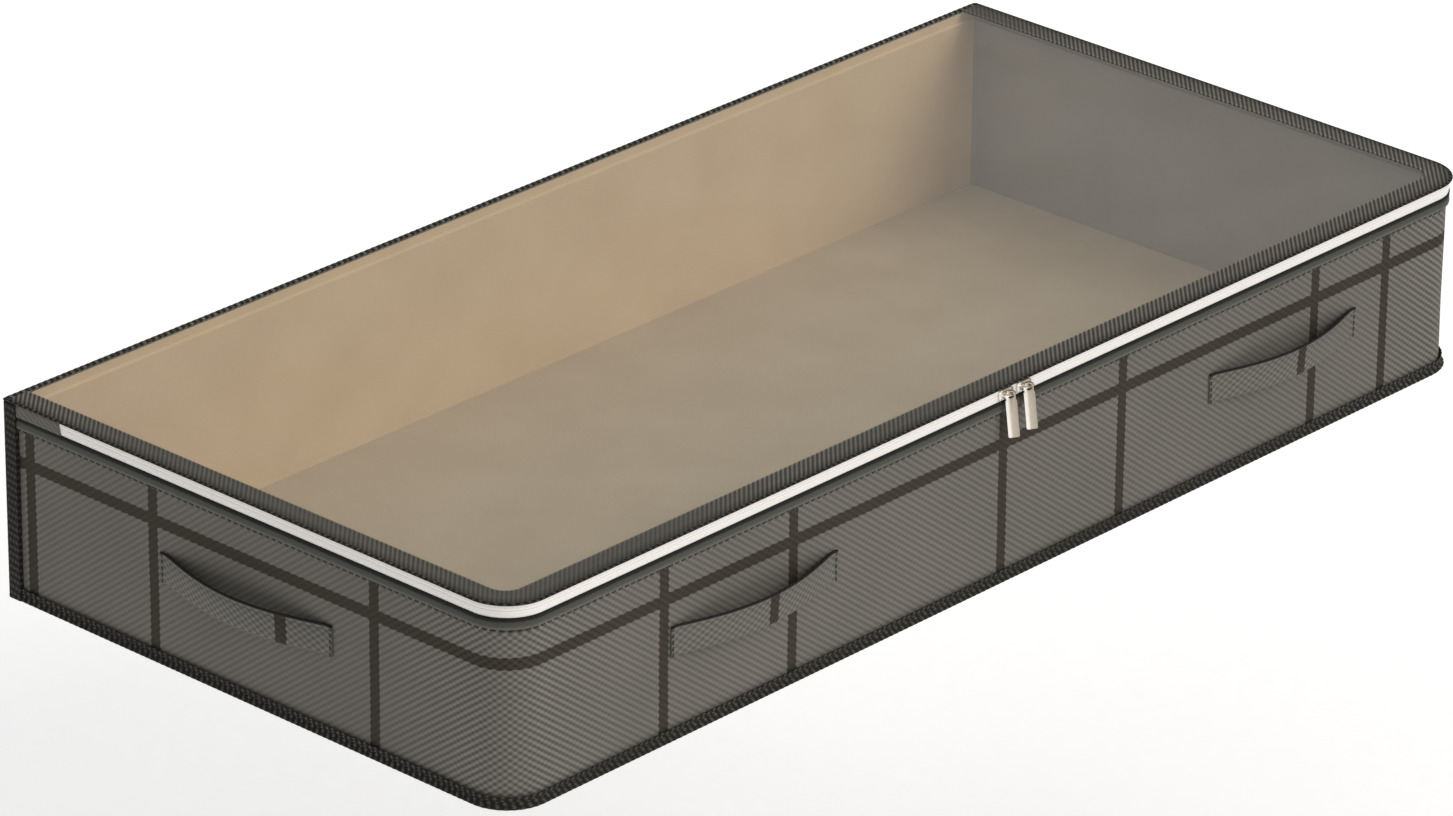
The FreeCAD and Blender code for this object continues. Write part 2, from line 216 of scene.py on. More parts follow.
def printed_fabric(
    name, uprights, levels=(), light="7C7973", dark="4D4A45", bends=None, falling=0.82, crisp=0.5
):
    """Printed spunbond polypropylene, heat-embossed, matt.

    Gives a grey cloth of staggered dark dots with paler raised spots between them, crossed by
    dark check stripes whose edges are ragged by the dots. The dots run together along one
    diagonal, which changes hands at the two bends. The print is crisp round each bend and soft
    on the flats; uprights and levels are the middles of the stripes.
    """
    material, tree, shader = finish(name, roughness=0.86, specular_ior_level=0.15)
    where = put(tree, "ShaderNodeUVMap", uv_map="UVMap")
    axes = put(tree, "ShaderNodeSeparateXYZ", {0: where})
    along, up = axes.outputs[0], axes.outputs[1]
    grain = put(tree, "ShaderNodeTexNoise", {"Vector": where, "Scale": 900.0, "Detail": 2.0})
    if bends:
        away = put(tree, "ShaderNodeMath", {0: along}, operation="ABSOLUTE")
        falling = put(
            tree, "ShaderNodeMapRange",
            {0: away, 1: bends[0], 2: bends[1], 3: falling, 4: 1 - falling},
        )
        before = put(
            tree, "ShaderNodeMapRange",
            {0: away, 1: bends[0] - BEND_REACH, 2: bends[0], 3: crisp, 4: 0.95},
        )
        past = put(
            tree, "ShaderNodeMapRange",
            {0: away, 1: bends[1], 2: bends[1] + BEND_REACH, 3: 0.0, 4: 0.6},
        )
        crisp = put(tree, "ShaderNodeMath", {0: before, 1: past}, operation="SUBTRACT")
    dots = lattice(tree, along, up, WEAVE_ACROSS, WEAVE_UP, falling)
    pressed = put(tree, "ShaderNodeMath", {0: dots, 1: crisp}, operation="MULTIPLY")
    rough = put(tree, "ShaderNodeMath", {0: grain, 1: 0.3, 2: pressed}, operation="MULTIPLY_ADD")
    spot = put(tree, "ShaderNodeMapRange", {0: rough, 1: -0.75, 2: 1.05})
    cloth = ramp(tree, spot, [(0.0, light), (0.38, "6B6862"), (0.62, "605D57"), (1.0, dark)])

    ragged = put(tree, "ShaderNodeMath", {0: dots, 1: 0.35 * MM}, operation="MULTIPLY")
    stripes = None
    for way, centres in ((along, uprights), (up, levels)):
        for centre in centres:
            line = put(tree, "ShaderNodeMath", {0: way, 1: centre}, operation="SUBTRACT")
            away = put(tree, "ShaderNodeMath", {0: line}, operation="ABSOLUTE")
            edge = put(tree, "ShaderNodeMath", {0: away, 1: ragged}, operation="SUBTRACT")
            inside = put(
                tree, "ShaderNodeMapRange",
                {0: edge, 1: CHECK_WIDTH / 2 + 0.4 * MM, 2: CHECK_WIDTH / 2 - 0.4 * MM},
            )
            if stripes is not None:
                inside = put(tree, "ShaderNodeMath", {0: stripes, 1: inside}, operation="MAXIMUM")
            stripes = inside
    ink = ramp(tree, spot, [(0.0, "423D35"), (0.6, "37332B"), (1.0, "2C2821")])
    patches = put(tree, "ShaderNodeTexNoise", {"Vector": where, "Scale": 9.0, "Detail": 3.0})
    faded = put(tree, "ShaderNodeMapRange", {0: patches, 1: 0.3, 2: 0.7, 3: 0.94, 4: 1.06})
    printed = cloth
    if stripes is not None:
        printed = put(
            tree, "ShaderNodeMix", {0: stripes, 6: cloth, 7: ink}, data_type="RGBA"
        ).outputs[2]
    toned = put(tree, "ShaderNodeHueSaturation", {"Value": faded, "Color": printed})
    embossed = put(tree, "ShaderNodeMath", {0: spot, 1: -1.0}, operation="MULTIPLY")
    coat(tree, shader, toned, embossed, 0.55, 0.25 * MM)
    return material


def ribbed_fabric(name, light, dark, pitch_along, pitch_up, contrast=1.0, bars=0.5):
    """Corded polypropylene tape or border, woven then pressed.

    Gives a dark strip crossed by paler raised bars, each broken by the fine threads of its cord.
    """
    material, tree, shader = finish(name, roughness=0.82, specular_ior_level=0.15)
    where = put(tree, "ShaderNodeUVMap", uv_map="UVMap")
    axes = put(tree, "ShaderNodeSeparateXYZ", {0: where})
    along, up = axes.outputs[0], axes.outputs[1]
    drift = put(tree, "ShaderNodeMath", {0: up, 1: 0.16, 2: along}, operation="MULTIPLY_ADD")
    turn = put(tree, "ShaderNodeMath", {0: drift, 1: math.tau / pitch_along}, operation="MULTIPLY")
    bar = put(tree, "ShaderNodeMath", {0: turn}, operation="COSINE")
    dots = lattice(tree, drift, up, 2 * pitch_along, pitch_up)
    broken = put(tree, "ShaderNodeMath", {0: dots, 1: 1 - bars}, operation="MULTIPLY")
    cord = put(tree, "ShaderNodeMath", {0: bar, 1: bars, 2: broken}, operation="MULTIPLY_ADD")
    threads = put(tree, "ShaderNodeTexNoise", {"Vector": where, "Scale": 1100.0, "Detail": 2.0})
    zones = put(tree, "ShaderNodeTexNoise", {"Vector": where, "Scale": 4.0, "Detail": 1.0})
    depth = put(
        tree, "ShaderNodeMapRange", {0: zones, 1: 0.35, 2: 0.65, 3: 0.45 * contrast, 4: contrast}
    )
    zoned = put(tree, "ShaderNodeMath", {0: cord, 1: depth}, operation="MULTIPLY")
    fuzzy = put(tree, "ShaderNodeMath", {0: threads, 1: 0.5, 2: zoned}, operation="MULTIPLY_ADD")
    level = put(tree, "ShaderNodeMapRange", {0: fuzzy, 1: -0.75, 2: 1.25})
    tone = ramp(tree, level, [(0.0, dark), (0.45, dark), (1.0, light)])
    coat(tree, shader, tone, level, 0.6, 0.4 * MM)
    return material


def border_fabric():
    """Printed spunbond polypropylene, the body's cloth in its darker shade, pressed flat.

    Gives the lid's border fine slanting lines of grey on near black, strong in some lengths and
    faint in others, dark at the outer edge and paler along the fold beside the window.
    """
    material, tree, shader = finish(
        "printed_spunbond_border", roughness=0.8, specular_ior_level=0.15
    )
    where = put(tree, "ShaderNodeTexCoord").outputs["Object"]
    axes = put(tree, "ShaderNodeSeparateXYZ", {0: where})
    dots = lattice(tree, axes.outputs[0], axes.outputs[1], RIM_ACROSS, RIM_UP, 0.1)
    zones = put(tree, "ShaderNodeTexNoise", {"Vector": where, "Scale": 3.2, "Detail": 1.0})
    depth = put(tree, "ShaderNodeMapRange", {0: zones, 1: 0.4, 2: 0.6, 3: 0.25, 4: 0.85})
    threads = put(tree, "ShaderNodeTexNoise", {"Vector": where, "Scale": 900.0, "Detail": 2.0})
    zoned = put(tree, "ShaderNodeMath", {0: dots, 1: depth}, operation="MULTIPLY")
    fuzzy = put(tree, "ShaderNodeMath", {0: threads, 1: 0.3, 2: zoned}, operation="MULTIPLY_ADD")
    level = put(tree, "ShaderNodeMapRange", {0: fuzzy, 1: -0.8, 2: 1.1})
    tone = ramp(
        tree, level, [(0.0, "3B3933"), (0.35, "4A4842"), (0.65, "64615A"), (1.0, "868379")]
    )
    across = put(tree, "ShaderNodeAttribute", attribute_name="across").outputs["Fac"]
    edge = put(tree, "ShaderNodeMapRange", {0: across, 1: 0.02, 2: 0.45, 3: 0.45, 4: 1.0})
    fold = put(tree, "ShaderNodeMapRange", {0: across, 1: 0.9, 2: 0.94, 3: 1.0, 4: 1.5})
    value = put(tree, "ShaderNodeMath", {0: edge, 1: fold}, operation="MULTIPLY")
    toned = put(tree, "ShaderNodeHueSaturation", {"Value": value, "Color": tone})
    coat(tree, shader, toned, level, 0.6, 0.3 * MM)
    return material


def hem_fabric():
    """Solid dyed spunbond hem, folded and pressed under the zip, with painted shade.

    Gives the hem's own dark grey, darkened upwards by painted shade to near black under the
    white tape; it pales towards its lower, flattened edge.
    """
    material, tree, shader = finish("folded_hem_cloth_painted_shade", roughness=0.85, specular_ior_level=0.15)
    where = put(tree, "ShaderNodeTexCoord").outputs["Object"]
    axes = put(tree, "ShaderNodeSeparateXYZ", {0: where})
    low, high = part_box("zip_hem")
    level = put(tree, "ShaderNodeMapRange", {0: axes.outputs[2], 1: low.z, 2: high.z})
    fibre = put(tree, "ShaderNodeTexNoise", {"Vector": where, "Scale": 500.0, "Detail": 3.0})
    mixed = put(tree, "ShaderNodeMath", {0: fibre, 1: 0.25, 2: level}, operation="MULTIPLY_ADD")
    # The upper stops are painted shade under the white tape, darkest right beneath it; the lower
    # ones are the hem's own grey.
    tone = ramp(tree, mixed, [
        (0.1, "66655E"), (0.28, "5C5B55"), (0.38, "4D4D48"), (0.72, "444540"), (0.8, "2B2B29"),
        (1.0, "1C1C1A"),
    ])
    coat(tree, shader, tone, fibre, 0.4, 0.2 * MM)
    return material


def plain_fabric(name, light, dark, thread=0.9 * MM, depth=0.12 * MM, roughness=0.9):
    """Thin spunbond polypropylene, calendered with small diamonds, undyed or solid dyed.

    Gives a soft even cloth with a fine pressed grid and slight cloudiness.
    """
    material, tree, shader = finish(name, roughness=roughness, specular_ior_level=0.2)
    where = put(tree, "ShaderNodeUVMap", uv_map="UVMap")
    axes = put(tree, "ShaderNodeSeparateXYZ", {0: where})
    dots = lattice(tree, axes.outputs[0], axes.outputs[1], 2 * thread, 2 * thread)
    cloud = put(tree, "ShaderNodeTexNoise", {"Vector": where, "Scale": 14.0, "Detail": 4.0})
    fibre = put(tree, "ShaderNodeTexNoise", {"Vector": where, "Scale": 700.0, "Detail": 2.0})
    fine = put(tree, "ShaderNodeMath", {0: dots, 1: 0.12, 2: fibre}, operation="MULTIPLY_ADD")
    mixed = put(tree, "ShaderNodeMath", {0: fine, 1: cloud}, operation="ADD")
    level = put(tree, "ShaderNodeMapRange", {0: mixed, 1: 0.6, 2: 1.4})
    tone = ramp(tree, level, [(0.0, dark), (1.0, light)])
    coat(tree, shader, tone, fine, 0.5, depth)
    return material


def woven_zip_tape():
    """Bleached polyester zip tape, twill woven.

    Gives a clean white band with fine slanting ribs and a hint of shade in its grooves.
    """
    material, tree, shader = finish("bleached_zip_twill", roughness=0.72, sheen_weight=0.1)
    where = put(tree, "ShaderNodeUVMap", uv_map="UVMap")
    axes = put(tree, "ShaderNodeSeparateXYZ", {0: where})
    slant = put(
        tree, "ShaderNodeMath", {0: axes.outputs[1], 1: 0.6, 2: axes.outputs[0]},
        operation="MULTIPLY_ADD",
    )
    ribs = lattice(tree, slant, axes.outputs[1], 1.6 * MM, 1.5 * MM)
    fibre = put(tree, "ShaderNodeTexNoise", {"Vector": where, "Scale": 1200.0, "Detail": 2.0})
    mixed = put(tree, "ShaderNodeMath", {0: fibre, 1: 0.8, 2: ribs}, operation="MULTIPLY_ADD")
    level = put(tree, "ShaderNodeMapRange", {0: mixed, 1: -0.7, 2: 1.5})
    tone = ramp(tree, level, [(0.0, "DDD9D3"), (0.5, "ECE9E5"), (1.0, "F4F2EE")])
    coat(tree, shader, tone, level, 0.35, 0.15 * MM)
    return material


def nylon(name, light, dark, roughness=0.35):
    """Extruded nylon monofilament or sewing thread, slightly glossy, with uneven dye."""
    material, tree, shader = finish(name, roughness=roughness, ior=1.53)
    where = put(tree, "ShaderNodeTexCoord").outputs["Object"]
    uneven = put(tree, "ShaderNodeTexNoise", {"Vector": where, "Scale": 800.0, "Detail": 1.0})
    tone = ramp(tree, uneven, [(0.3, dark), (0.7, light)])
    coat(tree, shader, tone, uneven, 0.2, 0.1 * MM)
    return material


def grey_card():
    """Pressed recycled greyboard. Gives a flecked grey-brown sheet with short fibres."""
    material, tree, shader = finish("pressed_greyboard", roughness=0.93)
    where = put(tree, "ShaderNodeTexCoord").outputs["Object"]
    fibre = put(tree, "ShaderNodeTexNoise", {"Vector": where, "Scale": 260.0, "Detail": 6.0})
    tone = ramp(tree, fibre, [(0.3, "6E6356"), (0.5, "8A7E6E"), (0.75, "A39784")])
    coat(tree, shader, tone, fibre, 0.3, 0.2 * MM)
    return material


def satin_nickel():
    """Die-cast zinc with satin nickel plate, tumbled.

    Gives a warm pale metal with soft broad highlights and a faint rubbed mottle, with a painted
    highlight along each part's left edge and painted shade along its right one.
    """
    material, tree, shader = finish("satin_nickel_plate", metallic=1.0, roughness=0.3)
    where = put(tree, "ShaderNodeTexCoord").outputs["Object"]
    rubbed = put(tree, "ShaderNodeTexNoise", {"Vector": where, "Scale": 300.0, "Detail": 2.0})
    across = put(tree, "ShaderNodeAttribute", attribute_name="across").outputs["Fac"]
    # The share across carries a painted highlight on the left edge and painted shade on the right;
    # the noise adds a little real rubbed mottle.
    painted_light_and_rub = put(
        tree, "ShaderNodeMath", {0: rubbed, 1: 0.06, 2: across}, operation="MULTIPLY_ADD"
    )
    # From a painted highlight at the left edge, through the metal's own tone, to painted shade at
    # the right edge.
    tone = ramp(tree, painted_light_and_rub, [
        (0.0, "FBF8F2"), (0.24, "F3EEE5"), (0.4, "C3B8A8"), (0.82, "B5AA9A"), (1.0, "877E72"),
    ])
    worn = put(tree, "ShaderNodeMapRange", {0: rubbed, 1: 0.3, 2: 0.7, 3: 0.28, 4: 0.36})
    tree.links.new(worn.outputs[0], shader.inputs["Roughness"])
    coat(tree, shader, tone, rubbed, 0.03, 0.02 * MM)
    return material


def clear_vinyl():
    """Calendered clear PVC film, half a millimetre.

    Lets the inside be seen, with a soft gloss that grows at shallow angles and fine ripples.
    """
    material, tree, shader = finish("clear_pvc_film", roughness=0.12, ior=1.53)
    shader.inputs["Base Color"].default_value = colour("F4F4F2")
    where = put(tree, "ShaderNodeTexCoord").outputs["Object"]
    ripple = put(tree, "ShaderNodeTexNoise", {"Vector": where, "Scale": 11.0, "Detail": 2.0})
    bump = put(tree, "ShaderNodeBump", {"Height": ripple, "Strength": 0.25, "Distance": 2 * MM})
    tree.links.new(bump.outputs[0], shader.inputs["Normal"])
    clear = put(tree, "ShaderNodeBsdfTransparent", {0: colour("F8F8F6")})
    facing = put(tree, "ShaderNodeLayerWeight", {"Normal": bump}).outputs["Facing"]
    steep = put(tree, "ShaderNodeMath", {0: facing, 1: 5.0}, operation="POWER")
    share = put(tree, "ShaderNodeMapRange", {0: steep, 1: 0.0, 2: 1.0, 3: 0.03, 4: 0.8})
    both = put(tree, "ShaderNodeMixShader", {0: share, 1: clear, 2: shader})
    tree.links.new(both.outputs[0], tree.nodes["Material Output"].inputs["Surface"])
    return material


def paper_sweep():
    """Matt white seamless paper. Gives a plain pale ground that takes only a soft shade."""
    material, tree, shader = finish("matt_white_paper", roughness=0.95, specular_ior_level=0.0)
    where = put(tree, "ShaderNodeTexCoord").outputs["Object"]
    tooth = put(tree, "ShaderNodeTexNoise", {"Vector": where, "Scale": 60.0})
    tone = ramp(tree, tooth, [(0.3, "FCFCFC"), (0.7, "FFFFFF")])
    tree.links.new(tone.outputs[0], shader.inputs["Base Color"])
    shader.inputs["Emission Color"].default_value = colour("FFFFFF")
    shader.inputs["Emission Strength"].default_value = 0.3
    return material


# ---------------------------------------------------------------- plan lines
def run_at(y):
    """Length along the wall from the middle of the front to a place on the right end."""
    bend = (CORNER_RADIUS - WALL_FACE) * math.pi / 2
    return HALF_LENGTH - CORNER_RADIUS + bend + (y + HALF_WIDTH - CORNER_RADIUS)


def half_plan(back, step=STATION):
    """Right half of a three-sided plan line: x, y, outward x and y, and the run from the middle."""
    straight = HALF_LENGTH - CORNER_RADIUS
    corner_y = -HALF_WIDTH + CORNER_RADIUS
    stations = []
    count = round(straight / step)
    for i in range(count):
        stations.append((straight * i / count, -HALF_WIDTH, 0.0, -1.0, straight * i / count))
    count = round(CORNER_RADIUS * math.pi / 2 / (step / 2))
    for i in range(count):
        turn = math.pi / 2 * i / count
        out_x = math.sin(turn)
        out_y = -math.cos(turn)
        run = straight + (CORNER_RADIUS - WALL_FACE) * turn
        x = straight + CORNER_RADIUS * out_x
        stations.append((x, corner_y + CORNER_RADIUS * out_y, out_x, out_y, run))
    count = round((back - corner_y) / step)
    for i in range(count + 1):
        y = corner_y + (back - corner_y) * i / count
        stations.append((HALF_LENGTH, y, 1.0, 0.0, run_at(y)))
    return stations


def three_sides(back, step=STATION):
    """Plan line of the left end, the front and the right end, from left to right."""
    right = half_plan(back, step)
    left = [(-x, y, -out_x, out_y, -run) for x, y, out_x, out_y, run in reversed(right[1:])]
    return left + right


def all_round(back_radius, back_inset=0.0, step=STATION):
    """Closed plan line: three sides, then round the two back corners and along the back."""
    back = HALF_WIDTH - back_inset
    front = three_sides(back - back_radius, step)
    run = front[-1][4]
    centre_x = HALF_LENGTH - back_radius
    centre_y = back - back_radius
    turn_steps = 8
    corner = []
    for i in range(1, turn_steps + 1):
        turn = math.pi / 2 * i / turn_steps
        out_x = math.cos(turn)
        out_y = math.sin(turn)
        corner.append((
            centre_x + back_radius * out_x, centre_y + back_radius * out_y, out_x, out_y,
            run + back_radius * turn,
        ))
    count = round(2 * centre_x / step)
    run = corner[-1][4]
    straight = []
    for i in range(1, count):
        x = centre_x - 2 * centre_x * i / count
        straight.append((x, back, 0.0, 1.0, run + centre_x - x))
    end = run + 2 * centre_x
    last = [
        (-x, y, -out_x, out_y, end + run - along) for x, y, out_x, out_y, along in reversed(corner)
    ]
    return front + corner + straight + last


def rails_of(path, profile, ease=None):
    """Points along a plan line for each (inset, height) of a profile; ease pushes them outwards."""
    rails = []
    for inset, height in profile:
        rail = []
        for x, y, out_x, out_y, run in path:
            depth = inset - (ease(run, height) if ease else 0.0)
            rail.append((x - out_x * depth, y - out_y * depth, height))
        rails.append(rail)
    return rails


# ---------------------------------------------------------------- meshes
def mesh_piece(name, points, faces, uvs, material, sharp=40):
    """A mesh object at the origin, with its UVs by face corner and hard edges past an angle."""
    mesh = bpy.data.meshes.new(name)
    mesh.from_pydata(points, [], faces)
    if uvs:
        layer = mesh.uv_layers.new(name="UVMap")
        layer.data.foreach_set("uv", [number for pair in uvs for number in pair])
    mesh.materials.append(material)
    mesh.shade_smooth()
    mesh.set_sharp_from_angle(angle=math.radians(sharp))
    piece = bpy.data.objects.new(name, mesh)
    bpy.context.scene.collection.objects.link(piece)
    return piece


def skin(name, rails, run, material, girth_start=0.0, closed=False, sharp=40):
    """Closed tube through rails that lie side by side, with UVs in metres along and round it."""
    count = len(rails[0])
    around = len(rails)
    points = [rail[i] for i in range(count) for rail in rails]
    girth = [girth_start]
    for j in range(around):
        gap = Vector(rails[(j + 1) % around][0]) - Vector(rails[j][0])
        girth.append(girth[-1] + gap.length)
    run = list(run)
    if closed:
        run.append(run[-1] + (Vector(rails[0][0]) - Vector(rails[0][-1])).length)
    faces = []
    uvs = []
    for i in range(len(run) - 1):
        k = (i + 1) % count
        for j in range(around):
            m = (j + 1) % around
            faces.append((i * around + j, k * around + j, k * around + m, i * around + m))
            uvs += [
                (run[i], girth[j]), (run[i + 1], girth[j]),
                (run[i + 1], girth[j + 1]), (run[i], girth[j + 1]),
            ]
    if not closed:
        last = (count - 1) * around
        faces.append(tuple(range(around)))
        uvs += [(run[0], g) for g in girth[:-1]]
        faces.append(tuple(last + j for j in reversed(range(around))))
        uvs += [(run[-1], g) for g in reversed(girth[:-1])]
    return mesh_piece(name, points, faces, uvs, material, sharp)


def runs(path):
    """The run of every station along a plan line."""
    return [station[4] for station in path]


def lengths_along(line):
    """The length from a line's start to each of its points."""
    run = [0.0]
    for a, b in zip(line, line[1:]):
        run.append(run[-1] + math.dist(a, b))
    return run


def flat_profile(outer, inner, low, high, rows=1):
    """Profile of an upright layer, up its outer face and down its inner one."""
    levels = [low + (high - low) * i / rows for i in range(rows + 1)]
    return [(outer, z) for z in levels] + [(inner, z) for z in reversed(levels)]


def round_profile(outer, inner, low, high, radius, steps=3):
    """Profile with its four edges rounded, up the outer face, in over the top and down."""
    corners = (
        (outer, low, 1, 1, 180), (outer, high, 1, -1, 270),
        (inner, high, -1, -1, 0), (inner, low, -1, 1, 90),
    )
    points = []
    for inset, z, across, up, start in corners:
        centre = (inset + across * radius, z + up * radius)
        for i in range(steps + 1):
            turn = math.radians(start + 90 - 90 * i / steps + 90)
            points.append((
                centre[0] + radius * math.sin(turn), centre[1] + radius * math.cos(turn),
            ))
    return points


def sheet_piece(name, grid, thickness, material):
    """Thin closed sheet over a grid of points on its upper side, thickened downwards."""
    rows = len(grid)
    columns = len(grid[0])
    size = rows * columns
    upper = [p for row in grid for p in row]
    points = upper + [(x, y, z - thickness) for x, y, z in upper]
    faces = []
    for r in range(rows - 1):
        for c in range(columns - 1):
            a = r * columns + c
            b = a + columns
            faces.append((a, a + 1, b + 1, b))
            faces.append((size + a, size + b, size + b + 1, size + a + 1))
    rim = list(range(columns))
    rim += [r * columns + columns - 1 for r in range(1, rows)]
    rim += [(rows - 1) * columns + c for c in reversed(range(columns - 1))]
    rim += [r * columns for r in reversed(range(1, rows - 1))]
    for i, a in enumerate(rim):
        b = rim[(i + 1) % len(rim)]
        faces.append((a, size + a, size + b, b))
    uvs = [points[v][:2] for face in faces for v in face]
    return mesh_piece(name, points, faces, uvs, material)


def row_tree():
    """Geometry nodes that set a small shape at an even pitch along every line of a piece."""
    tree = bpy.data.node_groups.new("row_of_small_pieces", "GeometryNodeTree")
    face = tree.interface
    for label, kind in (
        ("Line", "NodeSocketGeometry"), ("Shape", "NodeSocketObject"), ("Pitch", "NodeSocketFloat"),
        ("Size", "NodeSocketVector"), ("Upwards", "NodeSocketVector"),
        ("Finish", "NodeSocketMaterial"),
    ):
        face.new_socket(label, in_out="INPUT", socket_type=kind)
    face.new_socket("Row", in_out="OUTPUT", socket_type="NodeSocketGeometry")
    given = put(tree, "NodeGroupInput").outputs
    curve = put(tree, "GeometryNodeMeshToCurve", {"Mesh": given["Line"]})
    spaced = put(
        tree, "GeometryNodeResampleCurve", {"Curve": curve, "Length": given["Pitch"]}, mode="LENGTH"
    )
    tangent = put(tree, "GeometryNodeInputTangent")
    turned = put(tree, "FunctionNodeAlignRotationToVector", {"Vector": tangent}, axis="X")
    rolled = put(
        tree, "FunctionNodeAlignRotationToVector",
        {"Rotation": turned, "Vector": given["Upwards"]}, axis="Z", pivot_axis="X",
    )
    shape = put(tree, "GeometryNodeObjectInfo", {"Object": given["Shape"]})
    row = put(
        tree, "GeometryNodeInstanceOnPoints",
        {"Points": spaced, "Instance": shape.outputs["Geometry"], "Rotation": rolled,
         "Scale": given["Size"]},
    )
    real = put(tree, "GeometryNodeRealizeInstances", {0: row})
    painted = put(tree, "GeometryNodeSetMaterial", {"Geometry": real, "Material": given["Finish"]})
    put(tree, "NodeGroupOutput", {0: painted})
    return tree


ROW_TREE = row_tree()


def small_row(name, lines, shape, pitch, size, material, upwards=(0, 0, 1)):
    """One mesh of small shapes set along lines, each a list of points."""
    points = [p for line in lines for p in line]
    edges = []
    first = 0
    for line in lines:
        edges += [(first + i, first + i + 1) for i in range(len(line) - 1)]
        first += len(line)
    mesh = bpy.data.meshes.new(name)
    mesh.from_pydata(points, edges, [])
    piece = bpy.data.objects.new(name, mesh)
    bpy.context.scene.collection.objects.link(piece)
    modifier = piece.modifiers.new("row", "NODES")
    modifier.node_group = ROW_TREE
    given = {
        "Shape": shape, "Pitch": pitch, "Size": size, "Upwards": upwards, "Finish": material,
    }
    for item in ROW_TREE.interface.items_tree:
        if item.item_type == "SOCKET" and item.name in given:
            modifier[item.identifier] = given[item.name]
    evaluated = piece.evaluated_get(bpy.context.evaluated_depsgraph_get())
    made = bpy.data.meshes.new_from_object(evaluated)
    piece.modifiers.clear()
    piece.data = made
    bpy.data.meshes.remove(mesh)
    made.name = name
    return piece


def stitch_shape():
    """One stitch, 1 m long and thick before it is sized: a smooth spindle along X."""
    sides = 6
    places = ((-0.5, 0.0), (-0.38, 0.4), (0.0, 0.5), (0.38, 0.4), (0.5, 0.0))
    points = []
    for x, radius in places:
        for i in range(sides):
            turn = math.tau * i / sides
            points.append((x, radius * math.cos(turn), radius * math.sin(turn)))
    faces = [tuple(reversed(range(sides))), tuple(4 * sides + i for i in range(sides))]
    for ring in range(4):
        for i in range(sides):
            k = (i + 1) % sides
            a = ring * sides
            faces.append((a + i, a + k, a + sides + k, a + sides + i))
    return points, faces


def coil_shape():
    """One turn of a zip coil: a slanted loop of nylon about X, flattened at its coupling head."""
    ring_steps = 8
    wire_steps = 4
    wire = 0.32 * MM
    points = []
    for i in range(ring_steps):
        turn = math.tau * i / ring_steps
        slant = 0.35 * MM * math.sin(turn)
        for j in range(wire_steps):
            spin = math.tau * j / wire_steps
            reach = 0.8 * MM + wire * math.cos(spin)
            points.append((
                slant + wire * math.sin(spin), reach * math.cos(turn), reach * math.sin(turn),
            ))
    faces = []
    for i in range(ring_steps):
        k = (i + 1) % ring_steps
        for j in range(wire_steps):
            m = (j + 1) % wire_steps
            faces.append((
                i * wire_steps + j, i * wire_steps + m, k * wire_steps + m, k * wire_steps + j,
            ))
    return points, faces


def shape_object(name, made):
    """A source mesh for a row, removed once the rows are made."""
    mesh = bpy.data.meshes.new(name)
    mesh.from_pydata(made[0], [], made[1])
    mesh.shade_smooth()
    source = bpy.data.objects.new(name, mesh)
    bpy.context.scene.collection.objects.link(source)
    return source


def settle(piece, body, slot, *nodes):
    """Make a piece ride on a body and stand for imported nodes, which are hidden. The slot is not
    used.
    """
    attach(piece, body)
    if nodes:
        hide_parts(*nodes)
    return piece


# ---------------------------------------------------------------- finishes in use
WALL_CHECKS = FRONT_CHECKS + [side * run_at(y) for side in (-1, 1) for y in END_CHECKS]
WALL_BENDS = (HALF_LENGTH - CORNER_RADIUS, run_at(-HALF_WIDTH + CORNER_RADIUS))
WALL_CLOTH = printed_fabric(
    "printed_spunbond_walls", WALL_CHECKS, [CHECK_LEVEL], bends=WALL_BENDS
)
BACK_CLOTH = printed_fabric("printed_spunbond_back", BACK_CHECKS, [CHECK_LEVEL])
BASE_CLOTH = printed_fabric("printed_spunbond_underside", [0.0], [0.0])
TAB_CLOTH = printed_fabric("printed_spunbond_plain", [], light="4B4944", dark="3C3A35")
RIM_CLOTH = border_fabric()
EDGE_TAPE = ribbed_fabric("corded_binding_tape", "5A5751", "1E1D1A", RIB_PITCH, 3.2 * MM, 1.0, 0.6)
HANDLE_CLOTHS = {
    label: printed_fabric(
        "printed_spunbond_handle_" + label, [stripe], light="797973", dark="4A4A46",
        falling=0.5, crisp=0.7,
    )
    for label, stripe in HANDLE_STRIPES.items()
}
HANDLE_EDGE = ribbed_fabric(
    "folded_handle_edge", "3A3A37", "1D1C1A", 2.2 * MM, 2.2 * MM, 0.6, 0.4
)
HEM_CLOTH = hem_fabric()
ROPE_CLOTH = ribbed_fabric(
    "corded_hinge_piping", "7D7970", "211F1B", PIPING_PITCH, 9 * MM, 1.0, 0.7
)
TAN_LINING = plain_fabric("tan_spunbond_lining", "EED3AE", "DABC95")
GREY_LINING = plain_fabric("grey_spunbond_lining", "A29B94", "8D8680")
FLOOR_LINING = plain_fabric("sand_spunbond_floor", "D0BEA4", "BCA98E")
ZIP_TWILL = woven_zip_tape()
ZIP_NYLON = nylon("white_nylon_coil", "F2F0EC", "DCD8D0")
DARK_THREAD = nylon("black_polyester_thread", "2A2825", "161513", 0.6)
CARD = grey_card()
NICKEL = satin_nickel()
VINYL = clear_vinyl()

STITCH = shape_object("stitch_source", stitch_shape())
COIL_TURN = shape_object("coil_source", coil_shape())


# ---------------------------------------------------------------- walls
def wall_ease(run, height):
    """Soft waves of cloth over card: none at the two sewn edges, most halfway up."""
    share = max(0.0, math.sin(math.pi * min(1.0, height / WALL_EASE_TOP)))
    wave = noise.noise(Vector((run * 7.0, height * 16.0, 3.1)))
    fine = noise.noise(Vector((run * 21.0, height * 30.0, 8.7)))
    return share * (0.45 * wave + 0.2 * fine) * MM


